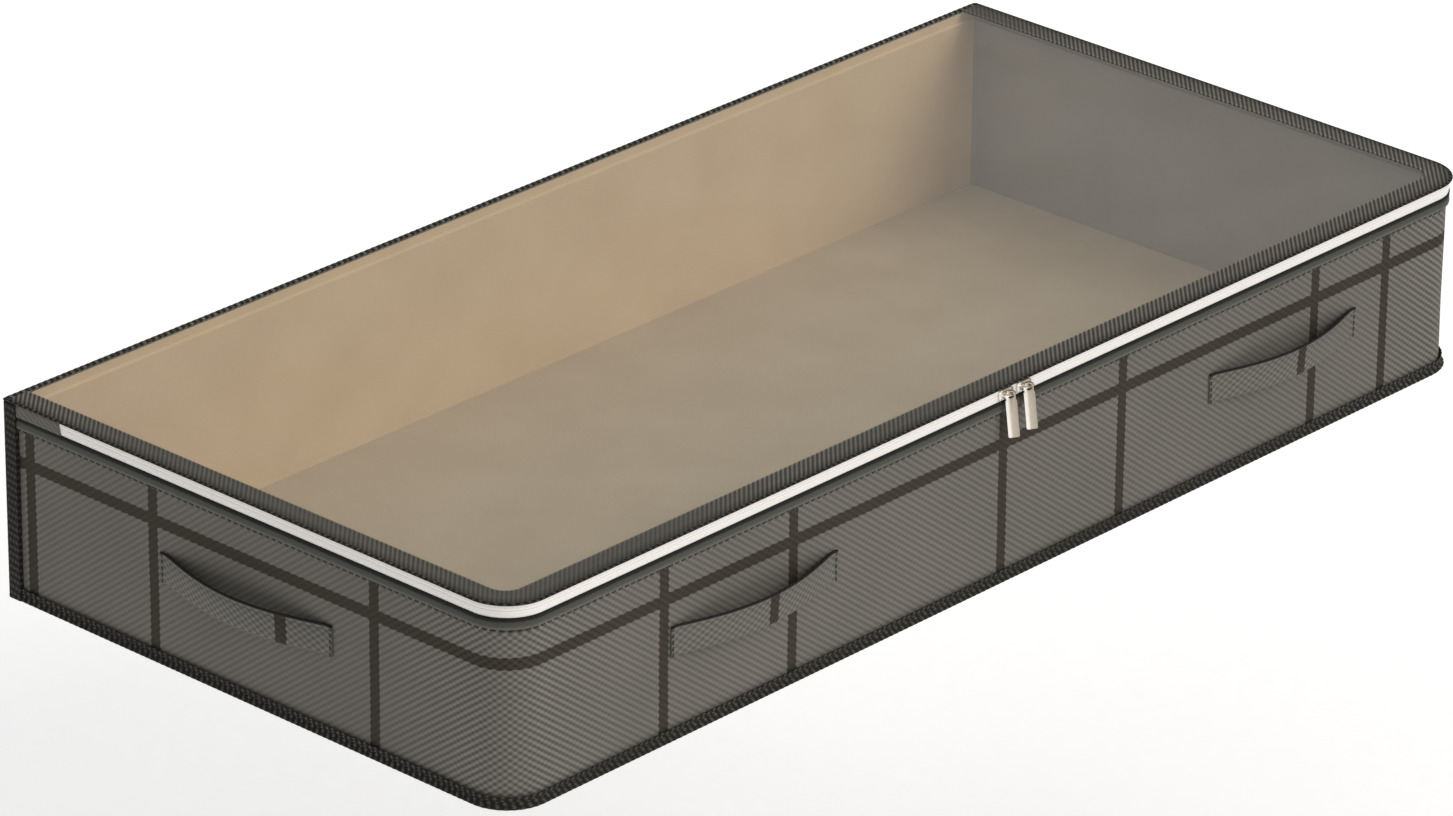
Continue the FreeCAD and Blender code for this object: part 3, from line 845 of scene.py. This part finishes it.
def make_walls():
    """Printed cloth over the front and ends in one strip, and over the back."""
    path = three_sides(WALL_BACK)
    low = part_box("wall_band")[0].z
    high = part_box("wall_band")[1].z
    thickness = WALL_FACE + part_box("back_panel")[1].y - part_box("back_panel")[0].y
    profile = flat_profile(WALL_FACE, thickness, low, high, 22)
    walls = skin(
        "outer_fabric", rails_of(path, profile, wall_ease), runs(path), WALL_CLOTH, girth_start=low
    )
    settle(walls, "box", "body_fabric", "wall_band")

    low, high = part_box("back_panel")
    columns = 120
    rows = 20
    front = []
    for r in range(rows + 1):
        z = low.z + (high.z - low.z) * r / rows
        line = []
        for c in range(columns + 1):
            x = high.x + (low.x - high.x) * c / columns
            line.append((x, high.y + wall_ease(x + 5.0, z), z))
        front.append(line)
    back = upright_sheet("back_fabric", front, high.y - low.y, BACK_CLOTH)
    settle(back, "box", "body_fabric", "back_panel")


def upright_sheet(name, grid, thickness, material, side=1):
    """Thin closed sheet whose seen face looks along +Y, or along -Y for a side of -1."""
    rails = grid + [
        [(x, y - side * thickness, z) for x, y, z in row] for row in reversed(grid)
    ]
    run = [p[0] for p in grid[0]]
    return skin(name, rails, run, material, girth_start=grid[0][0][2])


def make_base():
    """Printed cloth under the box, and the sand cloth of its floor."""
    low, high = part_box("bottom_panel")
    underside = sheet_piece(
        "underside_fabric", plan_grid(WALL_FACE, high.z, BACK_FACE), high.z - low.z, BASE_CLOTH
    )
    settle(underside, "box", "body_fabric", "bottom_panel")
    low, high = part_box("base_lining")
    grid = plan_grid(LINING_FACE, high.z, high.y, floor_rise)
    floor = sheet_piece("floor_fabric", grid, high.z - low.z, FLOOR_LINING)
    settle(floor, "box", "lining_fabric", "base_lining")


def floor_rise(x, y):
    """Cloth over the base card: slightly loose, with two shallow creases where the card folds."""
    loose = 0.5 * MM * (1 + noise.noise(Vector((x * 6, y * 6, 1.3))))
    crease = sum(
        math.exp(-((x - fold) / (3 * MM)) ** 2) for fold in (-HALF_LENGTH / 3, HALF_LENGTH / 3)
    )
    return loose - 0.5 * MM * min(1.0, crease)


def plan_grid(inset, height, back, rise=None, columns=110, rows=54):
    """Grid of points over the box's plan at an inset, its front corners rounded."""
    radius = CORNER_RADIUS - inset
    front = -HALF_WIDTH + inset
    side = HALF_LENGTH - inset
    grid = []
    for r in range(rows + 1):
        share = r / rows
        y = front + (back - front) * (share + 0.12 * math.sin(math.pi * share) * (share - 1))
        dip = max(0.0, front + radius - y)
        reach = side - radius + math.sqrt(max(0.0, radius ** 2 - dip ** 2))
        line = []
        for c in range(columns + 1):
            x = reach * (2 * c / columns - 1)
            edge = 0.0
            if rise:
                near = min(side - abs(x), y - front, back - y)
                edge = rise(x, y) * min(1.0, max(0.0, near) / (12 * MM))
            line.append((x, y, height + edge))
        grid.append(line)
    return grid


def make_wall_lining():
    """Cloth down the inside of the front and ends, folded over the top of their cards."""
    low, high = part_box("wall_lining")
    path = three_sides(high.y)
    board_outer = inset_of("wall_lining")
    inner = LINING_FACE
    fold = 0.6 * MM
    rows = 16
    levels = [high.z - fold - (high.z - fold - low.z) * i / rows for i in range(rows + 1)]
    inside = [(inner, z) for z in levels]
    outside = [(inner - fold, z) for z in reversed(levels)]
    top = [(board_outer, high.z - fold), (board_outer, high.z), (inner - 0.2 * MM, high.z)]
    rails = rails_of(path, inside + outside + top, lining_ease)
    lining = skin("inner_fabric", rails, runs(path), GREY_LINING)
    settle(lining, "box", "lining_fabric", "wall_lining")


def make_back_lining():
    """Cloth up the inside of the back wall, carried over the top of its card to the hinge."""
    low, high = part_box("back_lining")
    rows = 16
    columns = 120
    grid = []
    card_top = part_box("back_board")[1].z + 0.3 * MM
    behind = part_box("back_panel")[0].y - 1.0 * MM - low.y
    levels = [(low.z + (card_top - low.z) * r / rows, 0.0) for r in range(rows + 1)]
    levels += [(card_top + 0.5 * MM, behind / 2), (card_top + 0.9 * MM, behind)]
    levels += [(LID_BOTTOM - 0.5 * MM, behind)]
    for z, over in levels:
        row = []
        for c in range(columns + 1):
            x = low.x + (high.x - low.x) * c / columns
            row.append((x, low.y + over - lining_ease(x + 9.0, z), z))
        grid.append(row)
    back = upright_sheet("back_inner_fabric", grid, high.y - low.y, TAN_LINING, side=-1)
    settle(back, "box", "lining_fabric", "back_lining")


def lining_ease(run, height):
    """Lining hangs a little loose of the card, in broad shallow waves."""
    share = max(0.0, math.sin(math.pi * min(1.0, height / LINING_EASE_TOP)))
    return share * 0.5 * MM * noise.noise(Vector((run * 9.0, height * 12.0, 5.5)))


# ---------------------------------------------------------------- bindings
def make_bindings():
    """Corded tape round the bottom seam, and up the two back corners."""
    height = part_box("bottom_binding")[1].z
    path = all_round(6 * MM, step=1.25 * MM)
    profile = round_profile(0.25 * MM, WALL_FACE, 0.0, height, 1.8 * MM)
    tape = skin(
        "bottom_edge_tape", rails_of(path, profile, rib_ease), runs(path), EDGE_TAPE, closed=True
    )
    settle(tape, "box", "binding_tape", "bottom_binding")

    low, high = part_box("corner_binding_right")
    low.y -= 3 * MM
    low.z = 0.4 * MM
    for word, side in (("left", -1), ("right", 1)):
        piece = corner_tape("corner_tape_" + word, side, low, high)
        settle(piece, "box", "binding_tape", "corner_binding_" + word)


def rib_ease(run, height):
    """Cords across the tape stand a little proud."""
    return 0.16 * MM * math.cos(math.tau * run / RIB_PITCH)


def corner_tape(name, side, low, high):
    """Tape folded round a square back corner, seen from above as an L with a rounded bend."""
    face_x = HALF_LENGTH - WALL_FACE
    thickness = high.x - face_x
    bend = 2.6 * MM
    outline = [(high.x, low.y), (high.x, high.y - bend)]
    for i in range(1, 6):
        turn = math.pi / 2 * i / 6
        outline.append((
            high.x - bend + bend * math.cos(turn), high.y - bend + bend * math.sin(turn),
        ))
    outline += [(high.x - bend, high.y), (low.x, high.y)]
    outline += [(low.x, BACK_FACE), (face_x, BACK_FACE), (face_x, low.y)]
    step = 1.25 * MM
    count = round((high.z - low.z) / step)
    rails = []
    for x, y in outline:
        rail = []
        for i in range(count + 1):
            z = low.z + (high.z - low.z) * i / count
            push = 1 + 0.012 * math.cos(math.tau * z / RIB_PITCH) * (thickness / (3.5 * MM))
            proud_x = face_x + (x - face_x) * push if x > face_x else x
            proud_y = BACK_FACE + (y - BACK_FACE) * push if y > BACK_FACE else y
            rail.append((side * proud_x, proud_y, z))
        rails.append(rail)
    if side < 0:
        rails.reverse()
    run = [low.z + (high.z - low.z) * i / count for i in range(count + 1)]
    return skin(name, rails, run, EDGE_TAPE)


# ---------------------------------------------------------------- zip
def make_hem():
    """Folded hem under the zip, with a slot that the tape's lower edge is sewn into."""
    low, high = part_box("zip_hem")
    path = three_sides(high.y, TRIM_STATION)
    layer = TAPE_FACE - HEM_FACE
    slot_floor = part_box("lower_zip_tape")[0].z
    tape_inner = TAPE_FACE + layer * 0.75
    round_out = 0.35 * MM
    profile = [
        (WALL_FACE, low.z), (HEM_FACE + round_out, low.z), (HEM_FACE + 0.1 * MM, low.z + 0.15 * MM),
        (HEM_FACE, low.z + round_out * 2), (HEM_FACE + 0.25 * MM, (low.z + high.z) / 2),
        (HEM_FACE, high.z - round_out * 2), (HEM_FACE + 0.15 * MM, high.z - 0.1 * MM),
        (HEM_FACE + round_out, high.z), (TAPE_FACE, high.z), (TAPE_FACE, slot_floor),
        (tape_inner, slot_floor), (tape_inner, high.z), (WALL_FACE, high.z),
    ]
    hem = skin("hem_strip", rails_of(path, profile), runs(path), HEM_CLOTH)
    settle(hem, "box", "binding_tape", "zip_hem")


def make_zip_tapes():
    """The zip's two white tapes, each with its coil along the edge that meets the other."""
    path = three_sides(TAPE_END, TRIM_STATION)
    low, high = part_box("lower_zip_tape")
    thick = 0.6 * MM
    bulge = 0.25 * MM
    profile = [
        (TAPE_FACE, low.z), (TAPE_FACE, high.z - 3 * MM), (TAPE_FACE - bulge, ZIP_SPLIT - 1.2 * MM),
        (TAPE_FACE, ZIP_SPLIT - ZIP_SEAM), (TAPE_FACE + thick, ZIP_SPLIT - ZIP_SEAM),
        (TAPE_FACE + thick, low.z),
    ]
    tape = skin("zip_tape_lower", rails_of(path, profile), runs(path), ZIP_TWILL, girth_start=low.z)
    settle(tape, "box", "zip_tape", "lower_zip_tape")
    low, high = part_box("upper_zip_tape")
    profile = [
        (TAPE_FACE, ZIP_SPLIT + ZIP_SEAM), (TAPE_FACE - bulge, ZIP_SPLIT + 1.2 * MM),
        (TAPE_FACE, ZIP_SPLIT + 3 * MM), (TAPE_FACE, high.z), (TAPE_FACE + thick, high.z),
        (TAPE_FACE + thick, ZIP_SPLIT + ZIP_SEAM),
    ]
    tape = skin("zip_tape_upper", rails_of(path, profile), runs(path), ZIP_TWILL, girth_start=low.z)
    settle(tape, "lid", "zip_tape", "upper_zip_tape")

    middle = (TAPE_FACE + thick + COIL_FACE) / 2
    for word, body in (("lower", "box"), ("upper", "lid")):
        low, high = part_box(word + "_zip_coil")
        line = rails_of(path, [(middle, (low.z + high.z) / 2)])[0]
        coil = small_row("zip_coil_" + word, [line], COIL_TURN, COIL_PITCH, (1, 1, 1), ZIP_NYLON)
        settle(coil, body, "zip_coil", word + "_zip_coil")


def make_hem_stitches():
    """One row of dark stitches along the wall, just below the hem."""
    low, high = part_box("zip_hem")
    path = three_sides(high.y - 3 * MM, TRIM_STATION)
    height = low.z - 1.9 * MM
    line = rails_of(path, [(WALL_FACE - 0.1 * MM, height)])[0]
    size = (4.0 * MM, 1.2 * MM, 2.0 * MM)
    stitches = small_row("hem_stitches", [line], STITCH, STITCH_PITCH, size, DARK_THREAD)
    settle(stitches, "box", "binding_tape")


def make_end_tabs():
    """Cloth tabs over the zip's two ends, their front edge leaning back towards the top."""
    low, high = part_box("zip_end_tab_right")
    rows = 6
    columns = 14
    for word, side in (("left", -1), ("right", 1)):
        grid = []
        for r in range(rows + 1):
            z = low.z + (high.z - low.z) * r / rows
            slope = 1.9 * MM * r / rows
            row = []
            for c in range(columns + 1):
                y = low.y + slope + (high.y - low.y - slope) * c / columns
                row.append((side * high.x, y, z))
            grid.append(row)
        rails = grid + [
            [(side * low.x, y, z) for x, y, z in row] for row in reversed(grid)
        ]
        if side < 0:
            rails.reverse()
        tab = skin(
            "zip_cover_" + word, rails, [p[1] for p in grid[0]], TAB_CLOTH, girth_start=low.z
        )
        settle(tab, "box", "body_fabric", "zip_end_tab_" + word)


# ---------------------------------------------------------------- lid
def lid_line(inset, radius, back):
    """Plan line of the lid with a chosen corner radius, its stations matching any other's."""
    stations = []
    sides = 70
    arcs = 16
    fronts = 150
    front = -HALF_WIDTH + inset[1]
    side = HALF_LENGTH - inset[0]
    for i in range(fronts // 2):
        stations.append(((side - radius) * i / (fronts // 2), front))
    for i in range(arcs):
        turn = math.pi / 2 * i / arcs
        stations.append((
            side - radius + radius * math.sin(turn), front + radius - radius * math.cos(turn),
        ))
    for i in range(sides + 1):
        stations.append((side, front + radius + (back - front - radius) * i / sides))
    left = [(-x, y) for x, y in reversed(stations[1:])]
    return left + stations


def make_lid():
    """Printed border round the window, the strip under it, the bound edges and the film."""
    back = LID_BACK - PIPING
    low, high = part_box("lid_rim")
    overhang = 2.6 * MM
    outer_inset = WALL_FACE - overhang
    outer = lid_line((outer_inset, outer_inset), CORNER_RADIUS - outer_inset, back)
    inner = lid_line((WINDOW_SIDE, WINDOW_FRONT), WINDOW_RADIUS, back)
    thick = high.z - low.z
    # Section from the outer edge to the window: share of the width, level in thicknesses.
    top = [
        (0.0, -0.55), (0.05, -0.08), (0.12, 0.0), (0.3, 0.02), (0.5, 0.0), (0.7, 0.0),
        (0.87, -0.12), (0.895, 0.1), (0.94, 0.16), (0.985, 0.08), (1.0, -0.3), (1.0, -1.0),
        (0.0, -1.0),
    ]
    rails = []
    for share, level in top:
        rail = []
        for a, b in zip(outer, inner):
            x = a[0] + (b[0] - a[0]) * share
            y = a[1] + (b[1] - a[1]) * share
            ripple = 0.0
            if level > -0.5:
                ripple = 0.12 * MM * noise.noise(Vector((x * 14, y * 14, 2.2)))
            rail.append((x, y, high.z + level * thick + ripple - 0.1 * MM))
        rails.append(rail)
    rails.reverse()
    run = lengths_along(outer)
    rim = skin("lid_border", rails, run, RIM_CLOTH)
    shares = [share for share, level in reversed(top)]
    across = rim.data.attributes.new("across", "FLOAT", "POINT")
    across.data.foreach_set("value", shares * len(outer))
    settle(rim, "lid", "body_fabric", "lid_rim")

    low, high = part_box("lid_facing")
    rails = []
    for line, z in ((outer, low.z), (outer, high.z), (inner, high.z), (inner, low.z)):
        rails.append([(x, y, z) for x, y in line])
    facing = skin("lid_underside_strip", rails, run, GREY_LINING)
    settle(facing, "lid", "lining_fabric", "lid_facing")

    make_lid_edge()
    make_piping()
    make_hinge()
    make_film()


def make_lid_edge():
    """Bound outer edge of the lid on three sides."""
    path = three_sides(LID_BACK - 3 * MM, TRIM_STATION)
    middle = LID_TOP - 0.85 * MM
    profile = [
        (3.2 * MM, LID_BOTTOM), (1.6 * MM, LID_BOTTOM + 0.35 * MM), (0.7 * MM, middle - 0.25 * MM),
        (0.5 * MM, middle), (0.7 * MM, middle + 0.35 * MM), (1.4 * MM, LID_TOP - 0.2 * MM),
        (2.4 * MM, LID_TOP), (3.2 * MM, LID_TOP - 0.25 * MM), (3.4 * MM, LID_BOTTOM + 0.3 * MM),
    ]
    edge = skin("lid_edge_tape", rails_of(path, profile), runs(path), EDGE_TAPE, sharp=60)
    settle(edge, "lid", "binding_tape", "lid_binding")


def make_piping():
    """Corded roll along the hinge side, flattened, with a swell at every cord and tapered ends."""
    radius = PIPING / 2
    flat = 1.2 * MM
    sides = 14
    step = 0.7 * MM
    reach = HALF_LENGTH - 1.2 * MM
    count = round(2 * reach / step)
    centre_y = LID_BACK - radius
    centre_z = LID_TOP - flat
    rails = []
    for j in range(sides):
        turn = math.tau * j / sides
        rail = []
        for i in range(count + 1):
            x = -reach + 2 * reach * i / count
            near = min(1.0, (reach - abs(x)) / (3 * MM))
            swell = 0.93 + 0.07 * math.cos(math.tau * x / PIPING_PITCH)
            swell *= math.sqrt(1 - (1 - near) ** 2 * 0.7)
            y = centre_y - radius * swell * math.cos(turn)
            z = centre_z - flat * swell * math.sin(turn)
            rail.append((x, y, z))
        rails.append(rail)
    rails.reverse()
    piping = skin("hinge_piping", rails, [p[0] for p in rails[0]], ROPE_CLOTH, sharp=80)
    settle(piping, "lid", "binding_tape")


def make_hinge():
    """Tape sewn over the back wall's top seam between the box and the lid, made in one fixed shape.
    """
    low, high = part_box("hinge_binding")
    rows = 8
    columns = 200
    top = LID_BOTTOM + 1.2 * MM
    grid = []
    for r in range(rows + 1):
        z = low.z + (top - low.z) * r / rows
        row = []
        for c in range(columns + 1):
            x = high.x + (low.x - high.x) * c / columns
            y = BACK_FACE + 1.1 * MM + 0.4 * MM * math.sin(math.pi * r / rows)
            row.append((x, y, z))
        grid.append(row)
    hinge = upright_sheet("hinge_tape", grid, 1.0 * MM, EDGE_TAPE)
    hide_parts("hinge_binding")
    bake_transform(hinge)


def make_film():
    """Clear film, held flat under the border and slightly rippled between."""
    grid = []
    columns = 150
    rows = 76
    radius = WINDOW_RADIUS + (WINDOW_SIDE - (HALF_LENGTH + FILM_LOW.x))
    for r in range(rows + 1):
        y = FILM_LOW.y + (FILM_HIGH.y - FILM_LOW.y) * r / rows
        dip = max(0.0, FILM_LOW.y + radius - y)
        reach = FILM_HIGH.x - radius + math.sqrt(max(0.0, radius ** 2 - dip ** 2))
        row = []
        for c in range(columns + 1):
            x = reach * (2 * c / columns - 1)
            near = min(FILM_HIGH.x - abs(x), y - FILM_LOW.y, FILM_HIGH.y - y) - 10 * MM
            free = min(1.0, max(0.0, near) / (60 * MM))
            wave = noise.noise(Vector((x * 5, y * 9, 4.4)))
            wave += 0.4 * noise.noise(Vector((x * 14, y * 20, 6.1)))
            row.append((x, y, FILM_HIGH.z + free * (wave - 0.6) * 0.9 * MM))
        grid.append(row)
    film = sheet_piece("lid_film", grid, FILM_HIGH.z - FILM_LOW.z, VINYL)
    settle(film, "lid", "clear_film", "lid_window")


# ---------------------------------------------------------------- handles
def make_handles():
    """Four equal handles: two along the front and one on each end."""
    low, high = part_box("front_handle_left")
    half = (high.x - low.x) / 2
    bow = half - 5 * MM
    sizes = (half, bow, high.y - low.y, low.z, high.z - low.z)
    places = []
    for word in ("left", "right"):
        low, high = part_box("front_handle_" + word)
        places.append(("front_" + word, "front_handle_" + word, (low.x + high.x) / 2, -1))
    for word in ("left", "right"):
        low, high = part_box("end_handle_" + word)
        places.append(("end_" + word, "end_handle_" + word, (low.y + high.y) / 2, word))
    for label, node, middle, way in places:
        make_handle(label, node, middle, way, sizes)


def make_handle(label, node, middle, way, sizes):
    """Strap of doubled cloth bowed outwards between two sewn feet, with a dark bound top edge.

    Sizes are half the length, half the bowed length, the depth of the bow, the bottom and the
    height. Way is -1 for a handle on the front, or the word of its end.
    """
    half, bow, deep, bottom, height = sizes
    thick = HANDLE_CLOTH

    def rise(x):
        """How far the strap stands off the wall at a distance from its middle."""
        share = max(0.0, 1 - (x / bow) ** 2)
        return (deep - 2 * MM) * share ** 1.15

    def spot(x, out, z):
        """A place along the strap, outwards from its wall and up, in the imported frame."""
        if way == -1:
            return (middle + x, -HALF_WIDTH + WALL_FACE - out, z)
        side = -1 if way == "left" else 1
        return (side * (HALF_LENGTH - WALL_FACE + out), middle + side * x, z)

    count = 96
    places = [-half + 2 * half * i / count for i in range(count + 1)]
    shape = [
        (thick * 0.75, 0.0), (thick, 0.02), (thick * 0.95, 0.25), (thick * 0.9, 0.55),
        (thick, 0.84), (thick * 0.8, 0.86), (thick * 1.15, 0.9), (thick * 1.25, 0.95),
        (thick * 1.0, 1.0), (thick * 0.3, 1.0), (0.0, 0.96), (0.0, 0.5), (0.0, 0.02),
    ]
    rails = []
    for out, up in shape:
        rail = []
        for x in places:
            lean = 1.6 * MM * rise(x) / deep * (up - 0.5)
            z = bottom + height * up - 1.0 * MM * rise(x) / deep
            rail.append(spot(x, rise(x) + out + lean, z))
        rails.append(rail)
    strap = skin("handle_" + label, rails, places, HANDLE_CLOTHS[label], sharp=50)
    settle(strap, "box", "body_fabric", node)

    inset = 1.2 * MM
    lines = []
    for x in (-half + inset, half - inset):
        lines.append([
            spot(x, rise(x) + thick, bottom + 1.5 * MM + (height - 3 * MM) * i / 8)
            for i in range(9)
        ])
    away = Vector(spot(0, 1, 0)) - Vector(spot(0, 0, 0))
    rows = small_row(
        "handle_stitches_" + label, lines, STITCH, 4.6 * MM, (3.4 * MM, 1.9 * MM, 1.2 * MM),
        DARK_THREAD, tuple(away),
    )
    settle(rows, "box", "binding_tape")

    edge = []
    for x in places:
        share = rise(x) / deep
        out = rise(x) + 0.8 * MM * share + thick * 0.9
        edge.append(spot(x, out, bottom + height - 1.0 * MM * share))
    bead = tube("handle_edge_" + label, edge, 0.95 * MM, HANDLE_EDGE)
    settle(bead, "box", "binding_tape")


def tube(name, line, radius, material, sides=8):
    """Round bead along a level line."""
    rails = []
    for j in range(sides):
        turn = math.tau * j / sides
        rail = []
        for i, p in enumerate(line):
            a = Vector(line[max(0, i - 1)])
            b = Vector(line[min(len(line) - 1, i + 1)])
            along = (b - a).normalized()
            across = along.cross(Vector((0, 0, 1)))
            lift = Vector((0, 0, radius * math.sin(turn)))
            rail.append(tuple(Vector(p) + across * radius * math.cos(turn) + lift))
        rails.append(rail)
    return skin(name, rails, lengths_along(line), material, sharp=180)


# ---------------------------------------------------------------- sliders and pulls
def tumbled(name, node, bevel):
    """A packed metal part with its edges rounded, as tumbling leaves them."""
    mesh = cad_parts[node].data.copy()
    mesh.name = name
    work = bmesh.new()
    work.from_mesh(mesh)
    bmesh.ops.remove_doubles(work, verts=work.verts, dist=0.01 * MM)
    bmesh.ops.dissolve_limit(
        work, angle_limit=math.radians(1), verts=work.verts, edges=work.edges
    )
    work.to_mesh(mesh)
    work.free()
    piece = bpy.data.objects.new(name, mesh)
    bpy.context.scene.collection.objects.link(piece)
    modifier = piece.modifiers.new("rounded", "BEVEL")
    modifier.width = bevel
    modifier.segments = 3
    modifier.limit_method = "ANGLE"
    modifier.angle_limit = math.radians(50)
    modifier.use_clamp_overlap = True
    made = bpy.data.meshes.new_from_object(
        piece.evaluated_get(bpy.context.evaluated_depsgraph_get())
    )
    piece.modifiers.clear()
    piece.data = made
    bpy.data.meshes.remove(mesh)
    made.name = name
    made.materials.clear()
    made.materials.append(NICKEL)
    made.shade_smooth()
    made.set_sharp_from_angle(angle=math.radians(40))
    mark_across(made)
    return piece


def mark_across(mesh):
    """Share of the way across a leaning part, left to right, kept for its metal's painted highlight
    and painted shade.
    """
    spots = [vertex.co for vertex in mesh.vertices]
    top = max(spot.z for spot in spots)
    bottom = min(spot.z for spot in spots)
    reach = 0.2 * (top - bottom)
    high = [spot.x for spot in spots if spot.z > top - reach]
    low = [spot.x for spot in spots if spot.z < bottom + reach]
    lean = (sum(low) / len(low) - sum(high) / len(high)) / (top - bottom - reach)
    upright = [spot.x + lean * (spot.z - bottom) for spot in spots]
    least = min(upright)
    width = max(upright) - least
    shares = mesh.attributes.new("across", "FLOAT", "POINT")
    shares.data.foreach_set("value", [(x - least) / width for x in upright])


def make_sliders():
    """Two zip sliders, their pulls, and the crimped stops at the zip's ends."""
    for word in ("left", "right"):
        slider = tumbled("zip_slider_" + word, "slider_" + word, 0.3 * MM)
        settle(slider, "slider_" + word, "slider_metal", "slider_" + word)
        tab = tumbled("zip_pull_" + word, "pull_" + word, 0.45 * MM)
        settle(tab, "pull_" + word, "slider_metal", "pull_" + word)
    paint("zip_stops", NICKEL)


def paint(node, material):
    """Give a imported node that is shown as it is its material."""
    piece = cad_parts[node]
    if not piece.material_slots:
        piece.data.materials.append(material)
    for slot in piece.material_slots:
        slot.material = material


def make_card():
    """The stiff cards between the cloths."""
    for node in ("base_board", "front_board", "back_board", "left_board", "right_board"):
        paint(node, CARD)


# ---------------------------------------------------------------- stage
def make_stage():
    """White paper, white surroundings and one broad soft lamp from the front right.

    The bounds still hold the metre-thick stitch shape here, so the paper lies 0.43 m below the
    box and the box's shade falls apart from it.
    """
    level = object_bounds()[0].z - FLOOR_GAP
    reach = FLOOR_REACH
    corners = ((-reach, -reach), (reach, -reach), (reach, reach), (-reach, reach))
    points = [(x, y, level) for x, y in corners]
    floor = mesh_piece("paper_floor", points, [(0, 1, 2, 3)], None, paper_sweep())

    scene = bpy.context.scene
    world = bpy.data.worlds.new("studio")
    world.use_nodes = True
    scene.world = world
    ground = world.node_tree.nodes["Background"]
    ground.inputs["Color"].default_value = colour("FFFFFF")
    ground.inputs["Strength"].default_value = 0.58
    scene.view_settings.view_transform = "Standard"

    lamp = bpy.data.lights.new("soft_key", "SUN")
    lamp.energy = 1.25
    lamp.angle = math.radians(35)
    lamp.color = colour("FFFBF4")[:3]
    key = bpy.data.objects.new("soft_key", lamp)
    scene.collection.objects.link(key)
    towards = Vector((0.35, -0.8, 0.5)).normalized()
    key.rotation_euler = towards.to_track_quat("Z", "Y").to_euler()


def make_camera():
    """Long lens from the front left, a little more than a quarter of a right angle above."""
    azimuth = math.radians(CAMERA_TURN)
    elevation = math.radians(CAMERA_RISE)
    roll = math.radians(CAMERA_ROLL)
    away = Vector((
        math.sin(azimuth) * math.cos(elevation), -math.cos(azimuth) * math.cos(elevation),
        math.sin(elevation),
    ))
    right = Vector((math.cos(azimuth), math.sin(azimuth), 0))
    up = away.cross(right)
    turned_right = math.cos(roll) * right + math.sin(roll) * up
    turned_up = -math.sin(roll) * right + math.cos(roll) * up
    lens = bpy.data.cameras.new("camera")
    lens.lens = CAMERA_LENS
    lens.sensor_width = 36
    lens.clip_end = 60
    camera = bpy.data.objects.new("camera", lens)
    bpy.context.scene.collection.objects.link(camera)
    camera.location = CAMERA_RIGHT * turned_right + CAMERA_UP * turned_up + CAMERA_AWAY * away
    camera.rotation_euler = Matrix((turned_right, turned_up, away)).transposed().to_euler()
    bpy.context.scene.camera = camera


def make_everything():
    """Every piece in turn, then the shapes that only the rows used are taken away."""
    make_camera()
    make_stage()
    make_walls()
    make_base()
    make_wall_lining()
    make_back_lining()
    make_bindings()
    make_hem()
    make_zip_tapes()
    make_hem_stitches()
    make_end_tabs()
    make_lid()
    make_handles()
    make_sliders()
    make_card()
    for source in (STITCH, COIL_TURN):
        mesh = source.data
        bpy.data.objects.remove(source)
        bpy.data.meshes.remove(mesh)


make_everything()
